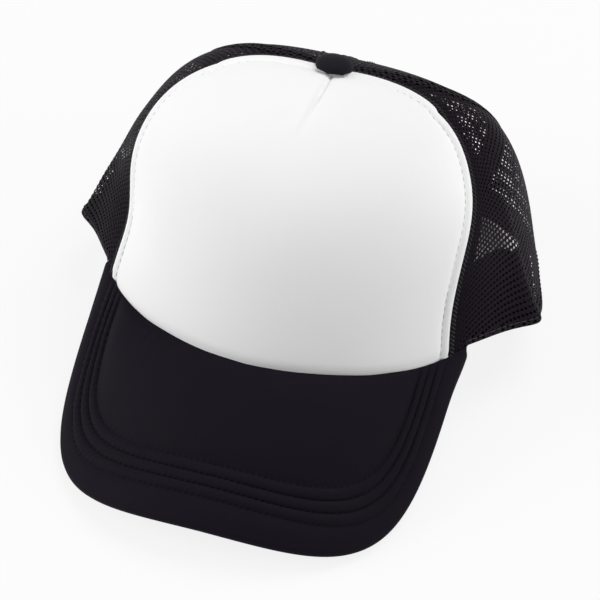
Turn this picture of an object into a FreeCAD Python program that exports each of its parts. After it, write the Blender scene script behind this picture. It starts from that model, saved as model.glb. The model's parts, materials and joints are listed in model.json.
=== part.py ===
import FreeCAD, Part
import math
import os

# Trucker cap with a foam front, mesh sides and back, a curved visor and a
# snap strap. Lengths in millimetres, angles in degrees.
# The shape is laid out level with the head opening: the opening's centre is
# the origin, -Y is the front, +X the wearer's left, +Z up. Around the crown
# an angle is counted from the front centre. Every solid is then tipped back
# to the way the cap stands on a table.

# Crown outline at the rim
RIM_HALF_WIDTH = 92.5
RIM_FRONT = 85.0
RIM_REAR = 85.0
FRONT_ROUNDNESS = 1.86
REAR_ROUNDNESS = 3.15
SIDE_RIM_DROP = 1.0
REAR_RIM_DROP = 5.0

# Crown profile from the rim up to the button
CROWN_HEIGHT = 94.9
BUTTON_SETBACK = 3.6
DOME_ROOT = 1.92
SIDE_TAPER = 0.13
SIDE_POWER = 4.79
FRONT_TAPER = 0.19
FRONT_POWER = 4.02
REAR_TAPER = 0.17
REAR_POWER = 2.04

# Flare where the unsupported mesh stands out at the widest point
FLARE = 0.15
FLARE_ANGLE = 87.4
FLARE_WIDTH = 9.4
FLARE_FADE = 2.95

# Panel seams
FRONT_SEAM_RIM = 57.0
FRONT_SEAM_TOP = 100.2
FRONT_SEAM_CURVE = 2.6
REAR_SEAM_RIM = 156.0
REAR_SEAM_TOP = 126.0
REAR_SEAM_REACH = 0.92

# Cloth thicknesses and gaps
MESH_THICK = 0.9
FOAM_THICK = 3.2
FOAM_PROUD = 0.7
TAPE_THICK = 0.7
SEAM_TAPE_WIDTH = 11.0
FRONT_TAPE_WIDTH = 6.0
FRONT_TAPE_START = 0.5
FRONT_TAPE_END = 20.0
SIDE_TAPE_END = 52.0
TAPE_END_GAP = 3.0
SEAM_GAP = 0.3
LAYER_GAP = 0.2
FRONT_TUCK = 4.5

# Sweatband
BAND_HEIGHT = 34.0
BAND_PADDING = 1.7
BAND_COVER = 0.7
BAND_END_GAP = 4.0

# Visor
VISOR_END_ANGLE = 62.4
VISOR_REACH = 58.7
VISOR_HALF_WIDTH = 82.5
VISOR_PITCH = 0.79
VISOR_CORNER = 4.3
VISOR_EDGE = 2.12
VISOR_SEAM_DROP = 1.25
VISOR_TOP_THICK = 2.3
VISOR_BOARD_THICK = 1.8
VISOR_UNDER_THICK = 0.8
VISOR_TIP_WIDTH = 3.0
VISOR_BOARD_INSET = 4.0
VISOR_ROOT_LENGTH = 14.0

# Button
BUTTON_RADIUS = 8.3
BUTTON_HEIGHT = 6.4
BUTTON_CLOTH = 0.8
RIVET_RADIUS = 1.6
RIVET_CLEARANCE = 0.1
RIVET_HEAD_RADIUS = 3.6
RIVET_HEAD_THICK = 0.8
WASHER_RADIUS = 9.0
WASHER_THICK = 1.0
CROWN_HOLE = 3.0

# Half-moon opening at the back and its binding
OPENING_HALF_WIDTH = 44.0
OPENING_HEIGHT = 50.0
OPENING_SPRING = 8.0
BINDING_WIDTH = 6.5
BINDING_LIP = 1.0
BINDING_THICK = 0.8

# Snap strap
STRAP_THICK = 1.4
STRAP_HEIGHT = 18.0
STRAP_LIFT = 1.0
STRAP_GAP = 0.25
HINGE_HALF = 39.0
STRAP_END = 24.0
STUD_COUNT = 6
HOLE_COUNT = 6
STUD_PITCH = 9.0
STUD_RADIUS = 1.95
STUD_CLEARANCE = 0.25
STUD_PROUD = 1.2
STUD_TIP_RADIUS = 1.4
ROOT_BEND = 4.5
ROOT_LENGTH = 13.5
ROOT_SLOPE = 0.31
KNUCKLE_GAP = 0.3
BAND_END_HALF = HINGE_HALF + ROOT_BEND + ROOT_LENGTH + BAND_END_GAP

# How many grid lines each cloth sheet is laid out on
PANEL_ACROSS_COUNT = 41
PANEL_UPWARD_COUNT = 19
SIDE_ACROSS_COUNT = 57
REAR_ACROSS_COUNT = 25
TAPE_ACROSS_COUNT = 9
SHELL_ACROSS_COUNT = 49
SHELL_UPWARD_COUNT = 15
BAND_ACROSS_COUNT = 97
BAND_UPWARD_COUNT = 5
VISOR_ACROSS_COUNT = 41
VISOR_ALONG_COUNT = 13


def power(value, exponent):
    return math.copysign(abs(value) ** exponent, value)


def profile(h, taper, strength):
    return (1.0 - taper * h) * max(0.0, 1.0 - h ** strength) ** (1.0 / DOME_ROOT)


def rim_xy(phi):
    a = math.radians(phi)
    s = math.sin(a)
    c = math.cos(a)
    if c > 0.0:
        e = 2.0 / FRONT_ROUNDNESS
        return RIM_HALF_WIDTH * power(s, e), -RIM_FRONT * power(c, e)
    e = 2.0 / REAR_ROUNDNESS
    return RIM_HALF_WIDTH * power(s, e), -RIM_REAR * power(c, e)


def turn(phi):
    a = abs(phi)
    if a > 180.0:
        return 360.0 - a
    return a


def bump(offset):
    return 1.0 / math.sqrt(1.0 + 3.0 * (offset / FLARE_WIDTH) ** 2)


def flare(phi, h):
    a = turn(phi)
    if a <= VISOR_END_ANGLE:
        return 1.0
    end = 180.0
    if a < FLARE_ANGLE:
        end = VISOR_END_ANGLE
    low = bump(end - FLARE_ANGLE)
    g = max(0.0, (bump(a - FLARE_ANGLE) - low) / (1.0 - low))
    return 1.0 + FLARE * g * max(0.0, 1.0 - h) ** FLARE_FADE


def visor_end():
    return rim_xy(VISOR_END_ANGLE)


def visor_sag():
    end_x, end_y = visor_end()
    return -VISOR_SEAM_DROP + VISOR_PITCH * (RIM_FRONT + end_y)


def visor_z(x, y):
    end_x, end_y = visor_end()
    return -VISOR_SEAM_DROP - visor_sag() * (x / end_x) ** 2 + VISOR_PITCH * (y + RIM_FRONT)


def smooth(t):
    t = min(1.0, max(0.0, t))
    return t * t * (3.0 - 2.0 * t)


def rim_z(phi):
    a = turn(phi)
    if a <= VISOR_END_ANGLE:
        x, y = rim_xy(a)
        return visor_z(x, y)
    side = smooth((a - VISOR_END_ANGLE) / (FLARE_ANGLE - VISOR_END_ANGLE))
    rear = smooth((a - FLARE_ANGLE) / (180.0 - FLARE_ANGLE))
    return -SIDE_RIM_DROP * side - (REAR_RIM_DROP - SIDE_RIM_DROP) * rear


def crown_point(phi, h):
    up = max(0.0, h)
    x, y = rim_xy(phi)
    k = flare(phi, up)
    if y < 0.0:
        ry = profile(up, FRONT_TAPER, FRONT_POWER)
    else:
        ry = profile(up, REAR_TAPER, REAR_POWER)
    rx = profile(up, SIDE_TAPER, SIDE_POWER)
    z = rim_z(phi) * (1.0 - up) + CROWN_HEIGHT * h
    return FreeCAD.Vector(x * rx * k, y * ry * k + BUTTON_SETBACK * up, z)


def crown_normal(phi, h):
    up = min(0.9995, max(0.001, h))
    step = min(0.0005, 0.4 * (1.0 - up))
    along = crown_point(phi + 0.05, up) - crown_point(phi - 0.05, up)
    rise = crown_point(phi, up + step) - crown_point(phi, up - step)
    normal = along.cross(rise)
    normal.normalize()
    return normal


def offset_point(phi, h, distance):
    return crown_point(phi, h) + crown_normal(phi, h) * distance


def plan_radius(phi, h):
    p = crown_point(phi, h)
    return math.hypot(p.x, p.y - BUTTON_SETBACK)


def height_at_radius(phi, radius):
    low = 0.3
    high = 1.0
    for _ in range(50):
        middle = 0.5 * (low + high)
        if plan_radius(phi, middle) > radius:
            low = middle
        else:
            high = middle
    return 0.5 * (low + high)


def arc_table():
    table = [(0.0, 0.0)]
    total = 0.0
    last = rim_xy(0.0)
    for i in range(1, 721):
        phi = 0.25 * i
        x, y = rim_xy(phi)
        k = flare(phi, 0.0)
        total = total + math.hypot(x * k - last[0], y * k - last[1])
        last = (x * k, y * k)
        table.append((phi, total))
    return table


ARC = arc_table()


def arc_of(phi):
    if phi > 180.0:
        return 2.0 * ARC[-1][1] - arc_of(360.0 - phi)
    a = abs(phi) / 0.25
    i = min(len(ARC) - 2, int(a))
    f = a - i
    s = ARC[i][1] + (ARC[i + 1][1] - ARC[i][1]) * f
    return math.copysign(s, phi)


def phi_of(s):
    if s > ARC[-1][1]:
        return 360.0 - phi_of(2.0 * ARC[-1][1] - s)
    size = abs(s)
    low = 0
    high = len(ARC) - 1
    while high - low > 1:
        middle = (low + high) // 2
        if ARC[middle][1] > size:
            high = middle
        else:
            low = middle
    span = ARC[high][1] - ARC[low][1]
    f = (size - ARC[low][1]) / max(1e-9, span)
    phi = ARC[low][0] + (ARC[high][0] - ARC[low][0]) * f
    return math.copysign(phi, s)


def front_seam(h):
    up = max(0.0, h)
    return FRONT_SEAM_RIM + (FRONT_SEAM_TOP - FRONT_SEAM_RIM) * up ** FRONT_SEAM_CURVE


def rear_seam(h):
    fall = REAR_SEAM_RIM - REAR_SEAM_TOP
    return REAR_SEAM_RIM - fall * smooth(h / REAR_SEAM_REACH)


def shift(phi, h, distance):
    radius = max(2.0, plan_radius(phi, max(0.0, h)))
    return phi + math.degrees(distance / radius)


def surface(grid):
    made = Part.BSplineSurface()
    made.interpolate(grid)
    return made


def border(made):
    u0, u1, v0, v1 = made.bounds()
    return [made.uIso(u0), made.uIso(u1), made.vIso(v0), made.vIso(v1)]


def sheet(outer, inner):
    top = surface(outer)
    low = surface(inner)
    faces = [top.toShape(), low.toShape()]
    for a, b in zip(border(top), border(low)):
        faces.append(Part.makeRuledSurface(a.toShape(), b.toShape()))
    shell = Part.makeShell(faces)
    shell.sewShape()
    solid = Part.makeSolid(shell)
    if solid.Volume < 0.0:
        solid.reverse()
    return solid


def climb(bottom, top, v):
    reach = 1.0 - math.sqrt(1.0 - top)
    return 1.0 - (1.0 - reach * v) ** 2 + bottom * (1.0 - v)


def place(left, right, bottom, top, u, v):
    h = 1.0 - (1.0 - 0.93 * v) ** 2
    for _ in range(8):
        s0 = arc_of(left(h))
        s1 = arc_of(right(h))
        phi = phi_of(s0 + (s1 - s0) * u)
        h = climb(bottom(phi), top(phi), v)
    return phi, h


def patch(left, right, bottom, top, outer, inner, across, upward=PANEL_UPWARD_COUNT):
    grids = ([], [])
    for i in range(across):
        rows = ([], [])
        for j in range(upward):
            u = i / (across - 1.0)
            phi, h = place(left, right, bottom, top, u, j / (upward - 1.0))
            rows[0].append(offset_point(phi, h, outer))
            rows[1].append(offset_point(phi, h, inner))
        grids[0].append(rows[0])
        grids[1].append(rows[1])
    return sheet(grids[0], grids[1])


def crown_top(phi):
    return height_at_radius(phi, CROWN_HOLE)


def tape_top(phi):
    return height_at_radius(phi, WASHER_RADIUS + TAPE_END_GAP)


def flush(phi):
    return 0.0


def tucked(phi):
    return -FRONT_TUCK / CROWN_HEIGHT


def mirror(shape):
    return shape.mirror(FreeCAD.Vector(0, 0, 0), FreeCAD.Vector(1, 0, 0))


def front_panel():
    def left(h):
        return -shift(front_seam(h), h, -0.5 * SEAM_GAP)

    def right(h):
        return shift(front_seam(h), h, -0.5 * SEAM_GAP)

    inner = FOAM_PROUD - FOAM_THICK
    return patch(left, right, tucked, crown_top, FOAM_PROUD, inner, PANEL_ACROSS_COUNT)


def side_mesh():
    def left(h):
        return shift(front_seam(h), h, 0.5 * SEAM_GAP)

    def right(h):
        return shift(rear_seam(h), h, -0.5 * SEAM_GAP)

    return patch(left, right, flush, crown_top, 0.0, -MESH_THICK, SIDE_ACROSS_COUNT)


def rear_mesh_whole():
    def left(h):
        return shift(rear_seam(h), h, 0.5 * SEAM_GAP)

    def right(h):
        return shift(180.0, h, -0.5 * SEAM_GAP)

    return patch(left, right, flush, crown_top, 0.0, -MESH_THICK, REAR_ACROSS_COUNT)


def arch_face(grow, low):
    half = OPENING_HALF_WIDTH + grow
    rise = OPENING_HEIGHT - OPENING_SPRING + grow
    points = [FreeCAD.Vector(-half, 0, low)]
    points.append(FreeCAD.Vector(half, 0, low))
    arc = []
    for i in range(25):
        a = math.pi * i / 24.0
        arc.append(FreeCAD.Vector(half * math.cos(a), 0, OPENING_SPRING + rise * math.sin(a)))
    curve = Part.BSplineCurve()
    curve.interpolate(arc)
    edges = [Part.makeLine(points[0], points[1]), Part.makeLine(points[1], arc[0])]
    edges.append(curve.toShape())
    edges.append(Part.makeLine(arc[-1], points[0]))
    return Part.Face(Part.Wire(edges))


def arch(grow, low=-30.0):
    face = arch_face(grow, low)
    face.translate(FreeCAD.Vector(0, 0.35 * RIM_REAR, 0))
    return face.extrude(FreeCAD.Vector(0, RIM_REAR, 0))


def rear_mesh():
    return rear_mesh_whole().cut(arch(0.0))


def front_tape_top(phi):
    return height_at_radius(phi, FRONT_TAPE_END)


def side_tape_top(phi):
    return height_at_radius(phi, SIDE_TAPE_END)


def front_tape():
    def left(h):
        return shift(front_seam(h), h, FRONT_TAPE_START)

    def right(h):
        return shift(front_seam(h), h, FRONT_TAPE_START + FRONT_TAPE_WIDTH)

    outer = -MESH_THICK - LAYER_GAP
    inner = outer - TAPE_THICK
    return patch(left, right, flush, front_tape_top, outer, inner, TAPE_ACROSS_COUNT)


def side_tape():
    def left(h):
        return shift(rear_seam(h), h, -0.5 * SEAM_TAPE_WIDTH)

    def right(h):
        return shift(rear_seam(h), h, 0.5 * SEAM_TAPE_WIDTH)

    outer = -MESH_THICK - LAYER_GAP
    inner = outer - TAPE_THICK
    whole = patch(left, right, flush, side_tape_top, outer, inner, TAPE_ACROSS_COUNT)
    return whole.cut(arch(BINDING_WIDTH + SEAM_GAP))


def back_tape():
    def left(h):
        return shift(180.0, h, -0.5 * SEAM_TAPE_WIDTH)

    def right(h):
        return shift(180.0, h, 0.5 * SEAM_TAPE_WIDTH)

    outer = -MESH_THICK - LAYER_GAP
    inner = outer - TAPE_THICK
    whole = patch(left, right, flush, tape_top, outer, inner, TAPE_ACROSS_COUNT)
    return whole.cut(arch(BINDING_WIDTH + SEAM_GAP))


def rear_shell(outer, inner):
    def left(h):
        return 146.0

    def right(h):
        return 214.0

    def top(phi):
        return (OPENING_HEIGHT + 2.0 * BINDING_WIDTH) / CROWN_HEIGHT

    return patch(left, right, flush, top, outer, inner, SHELL_ACROSS_COUNT, SHELL_UPWARD_COUNT)


def opening_binding():
    outer = LAYER_GAP + BINDING_THICK
    inner = -MESH_THICK - LAYER_GAP - BINDING_THICK
    ring = rear_shell(outer, inner).common(arch(BINDING_WIDTH))
    ring = ring.cut(arch(-BINDING_LIP))
    room = rear_shell(LAYER_GAP, -MESH_THICK - LAYER_GAP)
    room = room.cut(arch(-LAYER_GAP))
    return ring.cut(room)


def band_height(phi):
    return (BAND_HEIGHT - rim_z(phi)) / (CROWN_HEIGHT - rim_z(phi))


def band_end():
    low = 120.0
    high = 175.0
    for _ in range(40):
        middle = 0.5 * (low + high)
        if rim_xy(middle)[0] > BAND_END_HALF:
            low = middle
        else:
            high = middle
    return low


def band_layer(outer, thick):
    end = band_end()

    def left(h):
        return -end

    def right(h):
        return end

    inner = outer - thick
    return patch(left, right, flush, band_height, outer, inner, BAND_ACROSS_COUNT, BAND_UPWARD_COUNT)


def band_outer():
    return FOAM_PROUD - FOAM_THICK - LAYER_GAP


def sweatband_padding():
    return band_layer(band_outer(), BAND_PADDING)


def sweatband_cover():
    return band_layer(band_outer() - BAND_PADDING - LAYER_GAP, BAND_COVER)


def outline_half():
    end_x, end_y = visor_end()
    start_x = end_x + VISOR_TIP_WIDTH
    length = RIM_FRONT + VISOR_REACH + end_y
    points = []
    for i in range(401):
        q = math.sin(0.5 * math.pi * i / 400.0)
        base = start_x + (VISOR_HALF_WIDTH - start_x) * (1.0 - (1.0 - q) ** 2)
        w = base * max(0.0, 1.0 - q ** VISOR_CORNER) ** (1.0 / VISOR_EDGE)
        points.append((w, end_y - length * q))
    return points


def along(points, fraction):
    total = 0.0
    sizes = []
    for a, b in zip(points[:-1], points[1:]):
        d = math.hypot(b[0] - a[0], b[1] - a[1])
        sizes.append(d)
        total = total + d
    want = total * fraction
    for k, d in enumerate(sizes):
        if want <= d or k == len(sizes) - 1:
            f = min(1.0, want / max(d, 1e-9))
            a = points[k]
            b = points[k + 1]
            return a[0] + (b[0] - a[0]) * f, a[1] + (b[1] - a[1]) * f
        want = want - d


def visor_edge(side):
    x, y = along(outline_half(), 1.0 - abs(side))
    return math.copysign(x, side) if abs(side) > 1e-9 else 0.0, y


def visor_seam(side):
    phi = phi_of(side * arc_of(VISOR_END_ANGLE))
    p = offset_point(phi, 0.0, FOAM_PROUD + 0.15)
    return p.x, p.y


def visor_under(x, y, depth, away):
    # Depth is measured upright at the seam and square to the cloth further out.
    end_x, end_y = visor_end()
    slope_x = -2.0 * visor_sag() * x / end_x ** 2
    stretch = math.sqrt(1.0 + slope_x ** 2 + VISOR_PITCH ** 2)
    square = smooth(away / VISOR_ROOT_LENGTH)
    inward = square * depth / stretch
    drop = depth * ((1.0 - square) * math.hypot(1.0, VISOR_PITCH) + square / stretch)
    return FreeCAD.Vector(x + inward * slope_x, y + inward * VISOR_PITCH, visor_z(x, y) - drop)


def visor_sheet(top, thick, inset):
    grids = ([], [])
    for i in range(VISOR_ACROSS_COUNT):
        side = -1.0 + 2.0 * i / (VISOR_ACROSS_COUNT - 1.0)
        if inset > 0.0:
            side = side * 0.93
        ex, ey = visor_edge(side)
        sx, sy = visor_seam(side)
        length = math.hypot(ex - sx, ey - sy)
        rows = ([], [])
        for j in range(VISOR_ALONG_COUNT):
            v = j / (VISOR_ALONG_COUNT - 1.0)
            f = v
            if inset > 0.0:
                f = (inset * 0.25 + (length - 1.25 * inset) * v) / length
            x = sx + (ex - sx) * f
            y = sy + (ey - sy) * f
            rows[0].append(visor_under(x, y, top, f * length))
            rows[1].append(visor_under(x, y, top + thick, f * length))
        grids[0].append(rows[0])
        grids[1].append(rows[1])
    return sheet(grids[0], grids[1])


def visor_board():
    return visor_sheet(VISOR_TOP_THICK + LAYER_GAP, VISOR_BOARD_THICK, VISOR_BOARD_INSET)


def visor_top_cover():
    depth = VISOR_TOP_THICK + VISOR_BOARD_THICK + 2.0 * LAYER_GAP
    whole = visor_sheet(0.0, depth, 0.0)
    room = visor_sheet(VISOR_TOP_THICK, depth, VISOR_BOARD_INSET - 0.4)
    return whole.cut(room)


def visor_under_cover():
    depth = VISOR_TOP_THICK + VISOR_BOARD_THICK + 3.0 * LAYER_GAP
    return visor_sheet(depth, VISOR_UNDER_THICK, 0.0)


def dome(radius, height, base):
    ball = (radius * radius + height * height) / (2.0 * height)
    centre = FreeCAD.Vector(0, BUTTON_SETBACK, base + height - ball)
    solid = Part.makeSphere(ball, centre)
    block = Part.makeBox(4 * ball, 4 * ball, 4 * ball)
    block.translate(FreeCAD.Vector(-2 * ball, BUTTON_SETBACK - 2 * ball, base - 4 * ball))
    return solid.cut(block)


def disc(radius, thick, base):
    return Part.makeCylinder(radius, thick, FreeCAD.Vector(0, BUTTON_SETBACK, base))


def button_base():
    return CROWN_HEIGHT + FOAM_PROUD + LAYER_GAP


def button_cover():
    base = button_base()
    inside = dome(BUTTON_RADIUS - BUTTON_CLOTH, BUTTON_HEIGHT - BUTTON_CLOTH, base)
    return dome(BUTTON_RADIUS, BUTTON_HEIGHT, base).cut(inside)


def button_core():
    base = button_base()
    cloth = BUTTON_CLOTH + LAYER_GAP
    core = dome(BUTTON_RADIUS - cloth, BUTTON_HEIGHT - cloth, base)
    return core.cut(disc(RIVET_RADIUS + RIVET_CLEARANCE, 0.55 * BUTTON_HEIGHT, base))


def washer_top():
    lowest = CROWN_HEIGHT
    for i in range(25):
        phi = 7.5 * i
        h = height_at_radius(phi, WASHER_RADIUS)
        inner = -MESH_THICK
        if phi < FRONT_SEAM_TOP:
            inner = FOAM_PROUD - FOAM_THICK
        lowest = min(lowest, offset_point(phi, h, inner).z)
    return lowest - LAYER_GAP


def button_washer():
    whole = disc(WASHER_RADIUS, WASHER_THICK, washer_top() - WASHER_THICK)
    hole = disc(RIVET_RADIUS + RIVET_CLEARANCE, 3 * WASHER_THICK, washer_top() - 2 * WASHER_THICK)
    return whole.cut(hole)


def button_rivet():
    low = washer_top() - WASHER_THICK - LAYER_GAP
    top = button_base() + 0.5 * BUTTON_HEIGHT
    shaft = disc(RIVET_RADIUS, top - low + 0.1, low - 0.1)
    return shaft.fuse(disc(RIVET_HEAD_RADIUS, RIVET_HEAD_THICK, low - RIVET_HEAD_THICK)).removeSplitter()


def tipped(x, y, z, angle):
    s = math.sin(math.radians(angle))
    c = math.cos(math.radians(angle))
    return FreeCAD.Vector(x, y * c + z * s, z * c - y * s)


def visor_foot():
    depth = VISOR_TOP_THICK + VISOR_BOARD_THICK + VISOR_UNDER_THICK + 3.0 * LAYER_GAP
    points = []
    for i in range(81):
        side = i / 80.0
        ex, ey = visor_edge(side)
        sx, sy = visor_seam(side)
        points.append(visor_under(ex, ey, depth, math.hypot(ex - sx, ey - sy)))
    return points


def visor_low(points, angle):
    return min(tipped(p.x, p.y, p.z, angle).z for p in points)


def rear_low(angle):
    low = 1000.0
    for i in range(25):
        p = crown_point(150.0 + i, 0.0)
        if p.x > OPENING_HALF_WIDTH - BINDING_LIP:
            low = min(low, tipped(p.x, p.y, p.z, angle).z)
    return low


def rest_angle():
    foot = visor_foot()
    low = 0.0
    high = 35.0
    for _ in range(40):
        middle = 0.5 * (low + high)
        if visor_low(foot, middle) < rear_low(middle):
            low = middle
        else:
            high = middle
    return 0.5 * (low + high)


REST_ANGLE = rest_angle()


def rest(shape):
    out = shape.copy()
    out.rotate(FreeCAD.Vector(0, 0, 0), FreeCAD.Vector(1, 0, 0), -REST_ANGLE)
    return out


def phi_at_half(half):
    low = 120.0
    high = 179.0
    for _ in range(40):
        middle = 0.5 * (low + high)
        if rim_xy(middle)[0] > half:
            low = middle
        else:
            high = middle
    return low


def strap_place():
    phi = phi_at_half(OPENING_HALF_WIDTH)
    inner = -MESH_THICK - LAYER_GAP - BINDING_THICK
    foot = offset_point(phi, 0.0, inner)
    head = offset_point(phi, STRAP_HEIGHT / CROWN_HEIGHT, inner)
    a = tipped(foot.x, foot.y, foot.z, REST_ANGLE)
    b = tipped(head.x, head.y, head.z, REST_ANGLE)
    return min(a.y, b.y) - STRAP_GAP, a.z + STRAP_LIFT


STRAP_Y, STRAP_Z = strap_place()
HOLE_OUTER = STRAP_Y
HOLE_INNER = HOLE_OUTER - STRAP_THICK
STUD_OUTER = HOLE_INNER - STRAP_GAP
STUD_INNER = STUD_OUTER - STRAP_THICK


def strap_blank(inner, side):
    length = HINGE_HALF + STRAP_END - 0.5 * STRAP_HEIGHT
    body = Part.makeBox(length, STRAP_THICK, STRAP_HEIGHT)
    body.translate(FreeCAD.Vector(-HINGE_HALF, inner, STRAP_Z))
    middle = STRAP_Z + 0.5 * STRAP_HEIGHT
    nose = FreeCAD.Vector(STRAP_END - 0.5 * STRAP_HEIGHT, inner, middle)
    end = Part.makeCylinder(0.5 * STRAP_HEIGHT, STRAP_THICK, nose, FreeCAD.Vector(0, 1, 0))
    knuckle_at = FreeCAD.Vector(-HINGE_HALF, inner + 0.5 * STRAP_THICK, STRAP_Z)
    knuckle = Part.makeCylinder(0.5 * STRAP_THICK, STRAP_HEIGHT, knuckle_at)
    whole = body.fuse([end, knuckle]).removeSplitter()
    if side > 0:
        whole = mirror(whole)
    return whole


def stud_x(i):
    return -0.5 * STUD_PITCH * (STUD_COUNT - 2) + STUD_PITCH * i


def peg(x, inner, radius, length):
    at = FreeCAD.Vector(x, inner, STRAP_Z + 0.5 * STRAP_HEIGHT)
    return Part.makeCylinder(radius, length, at, FreeCAD.Vector(0, 1, 0))


def hole_strap():
    strap = strap_blank(HOLE_INNER, -1)
    holes = []
    for i in range(HOLE_COUNT):
        holes.append(peg(-stud_x(i), HOLE_INNER - 1.0, STUD_RADIUS + STUD_CLEARANCE, STRAP_THICK + 2.0))
    return strap.cut(holes)


def stud_strap():
    strap = strap_blank(STUD_INNER, 1)
    studs = []
    straight = STRAP_GAP + STRAP_THICK
    for i in range(STUD_COUNT):
        x = stud_x(i)
        studs.append(peg(x, STUD_OUTER - 0.5, STUD_RADIUS, straight + 0.5))
        at = FreeCAD.Vector(x, STUD_OUTER + straight, STRAP_Z + 0.5 * STRAP_HEIGHT)
        way = FreeCAD.Vector(0, 1, 0)
        studs.append(Part.makeCone(STUD_RADIUS, STUD_TIP_RADIUS, STUD_PROUD, at, way))
    return strap.fuse(studs).removeSplitter()


def strap_root(outer, side):
    start = HINGE_HALF + 0.5 * STRAP_THICK + KNUCKLE_GAP
    bend = HINGE_HALF + ROOT_BEND
    end = bend + ROOT_LENGTH
    fall = ROOT_SLOPE * ROOT_LENGTH
    inner = outer - STRAP_THICK
    corners = [(start, outer), (bend, outer), (end, outer - fall)]
    corners = corners + [(end, inner - fall), (bend - 0.2, inner), (start, inner)]
    points = []
    for x, y in corners:
        points.append(FreeCAD.Vector(x, y, STRAP_Z))
    points.append(points[0])
    face = Part.Face(Part.makePolygon(points))
    root = face.extrude(FreeCAD.Vector(0, 0, STRAP_HEIGHT))
    if side < 0:
        root = mirror(root)
    return root


def crown_parts():
    parts = {"front_panel": front_panel()}
    pairs = {"side_mesh": side_mesh, "rear_mesh": rear_mesh}
    pairs.update({"front_seam_tape": front_tape, "side_seam_tape": side_tape})
    for name, make in pairs.items():
        shape = make()
        parts[name + "_left"] = shape
        parts[name + "_right"] = mirror(shape)
    parts["back_seam_tape"] = back_tape()
    parts["rear_opening_binding"] = opening_binding()
    parts["sweatband_padding"] = sweatband_padding()
    parts["sweatband_cover"] = sweatband_cover()
    return parts


def visor_parts():
    parts = {"visor_board": visor_board()}
    parts["visor_top_cover"] = visor_top_cover()
    parts["visor_under_cover"] = visor_under_cover()
    return parts


def button_parts():
    parts = {"button_cover": button_cover(), "button_core": button_core()}
    parts["button_washer"] = button_washer()
    parts["button_rivet"] = button_rivet()
    return parts


def strap_parts():
    parts = {"hole_strap": hole_strap(), "stud_strap": stud_strap()}
    parts["hole_strap_root"] = strap_root(HOLE_OUTER, -1)
    parts["stud_strap_root"] = strap_root(STUD_OUTER, 1)
    return parts


def main():
    os.makedirs("parts", exist_ok=True)
    whole = {}
    for group in (crown_parts(), visor_parts(), button_parts()):
        for name, shape in group.items():
            whole[name] = rest(shape)
    whole.update(strap_parts())
    for name, shape in sorted(whole.items()):
        solids = shape.Solids
        if len(solids) == 1:
            shape = solids[0]
        shape.exportStep("parts/" + name + ".step")
        b = shape.BoundBox
        sides = [round(v, 1) for v in (b.XMin, b.XMax, b.YMin, b.YMax, b.ZMin, b.ZMax)]
        print(name, shape.isValid(), len(solids), round(shape.Volume, 1), sides)
    print("rest angle", round(REST_ANGLE, 3), "strap y, z", round(STRAP_Y, 3), round(STRAP_Z, 3))


main()
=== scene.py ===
import bisect
import json
import math
from types import SimpleNamespace

import bmesh
import bpy
from bpy.props import FloatProperty, FloatVectorProperty, IntProperty, PointerProperty
from mathutils import Matrix, Vector, geometry, kdtree, noise

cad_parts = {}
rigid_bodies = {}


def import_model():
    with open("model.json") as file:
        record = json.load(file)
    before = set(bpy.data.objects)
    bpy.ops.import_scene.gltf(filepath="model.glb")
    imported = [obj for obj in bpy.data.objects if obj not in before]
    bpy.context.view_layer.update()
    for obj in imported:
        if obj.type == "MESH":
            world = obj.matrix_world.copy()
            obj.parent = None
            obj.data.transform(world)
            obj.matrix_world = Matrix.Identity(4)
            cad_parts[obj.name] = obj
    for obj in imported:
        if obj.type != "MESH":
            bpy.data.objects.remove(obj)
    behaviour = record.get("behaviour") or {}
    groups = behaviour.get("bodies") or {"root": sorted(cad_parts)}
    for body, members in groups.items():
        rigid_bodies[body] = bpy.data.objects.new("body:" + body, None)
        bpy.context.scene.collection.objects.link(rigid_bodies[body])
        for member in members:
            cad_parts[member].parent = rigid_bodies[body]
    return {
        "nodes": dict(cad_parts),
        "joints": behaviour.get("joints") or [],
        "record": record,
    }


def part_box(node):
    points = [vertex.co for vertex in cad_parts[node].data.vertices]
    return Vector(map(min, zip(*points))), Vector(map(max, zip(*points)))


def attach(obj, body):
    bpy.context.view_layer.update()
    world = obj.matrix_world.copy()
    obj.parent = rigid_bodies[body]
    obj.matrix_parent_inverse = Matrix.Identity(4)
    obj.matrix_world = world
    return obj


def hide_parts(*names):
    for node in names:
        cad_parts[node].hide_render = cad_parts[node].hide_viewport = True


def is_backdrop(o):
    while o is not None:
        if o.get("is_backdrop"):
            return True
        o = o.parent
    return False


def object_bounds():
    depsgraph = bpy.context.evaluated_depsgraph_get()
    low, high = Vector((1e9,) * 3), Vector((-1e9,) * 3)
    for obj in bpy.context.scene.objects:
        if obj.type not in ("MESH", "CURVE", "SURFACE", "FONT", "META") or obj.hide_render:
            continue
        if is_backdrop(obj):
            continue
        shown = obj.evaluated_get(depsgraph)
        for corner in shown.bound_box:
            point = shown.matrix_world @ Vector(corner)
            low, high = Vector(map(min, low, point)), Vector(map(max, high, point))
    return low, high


bl_info = {
    "name": "Mesh Cap",
    "version": (1, 0, 0),
    "blender": (4, 5, 0),
    "location": "View3D > Sidebar > Cap",
    "description": "Dresses a foam-front mesh cap: panels, net, visor, band, button and straps",
    "category": "Object",
}

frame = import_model()
CAD_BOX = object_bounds()
OPENING = next(m for m in frame["record"]["mounts"] if m["name"] == "head_opening")
TILT = math.atan2(-OPENING["axis"][1], -OPENING["axis"][2])
TIPPED = Matrix.Rotation(-TILT, 3, "X")
FLOOR = CAD_BOX[0].z
HALF_TURN = math.pi
MM = 0.001


# Properties


def length(name, default, about):
    return FloatProperty(name=name, description=about, default=default, unit="LENGTH", precision=5)


def angle(name, default, about):
    turned = math.radians(default)
    return FloatProperty(name=name, description=about, default=turned, subtype="ANGLE")


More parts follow.
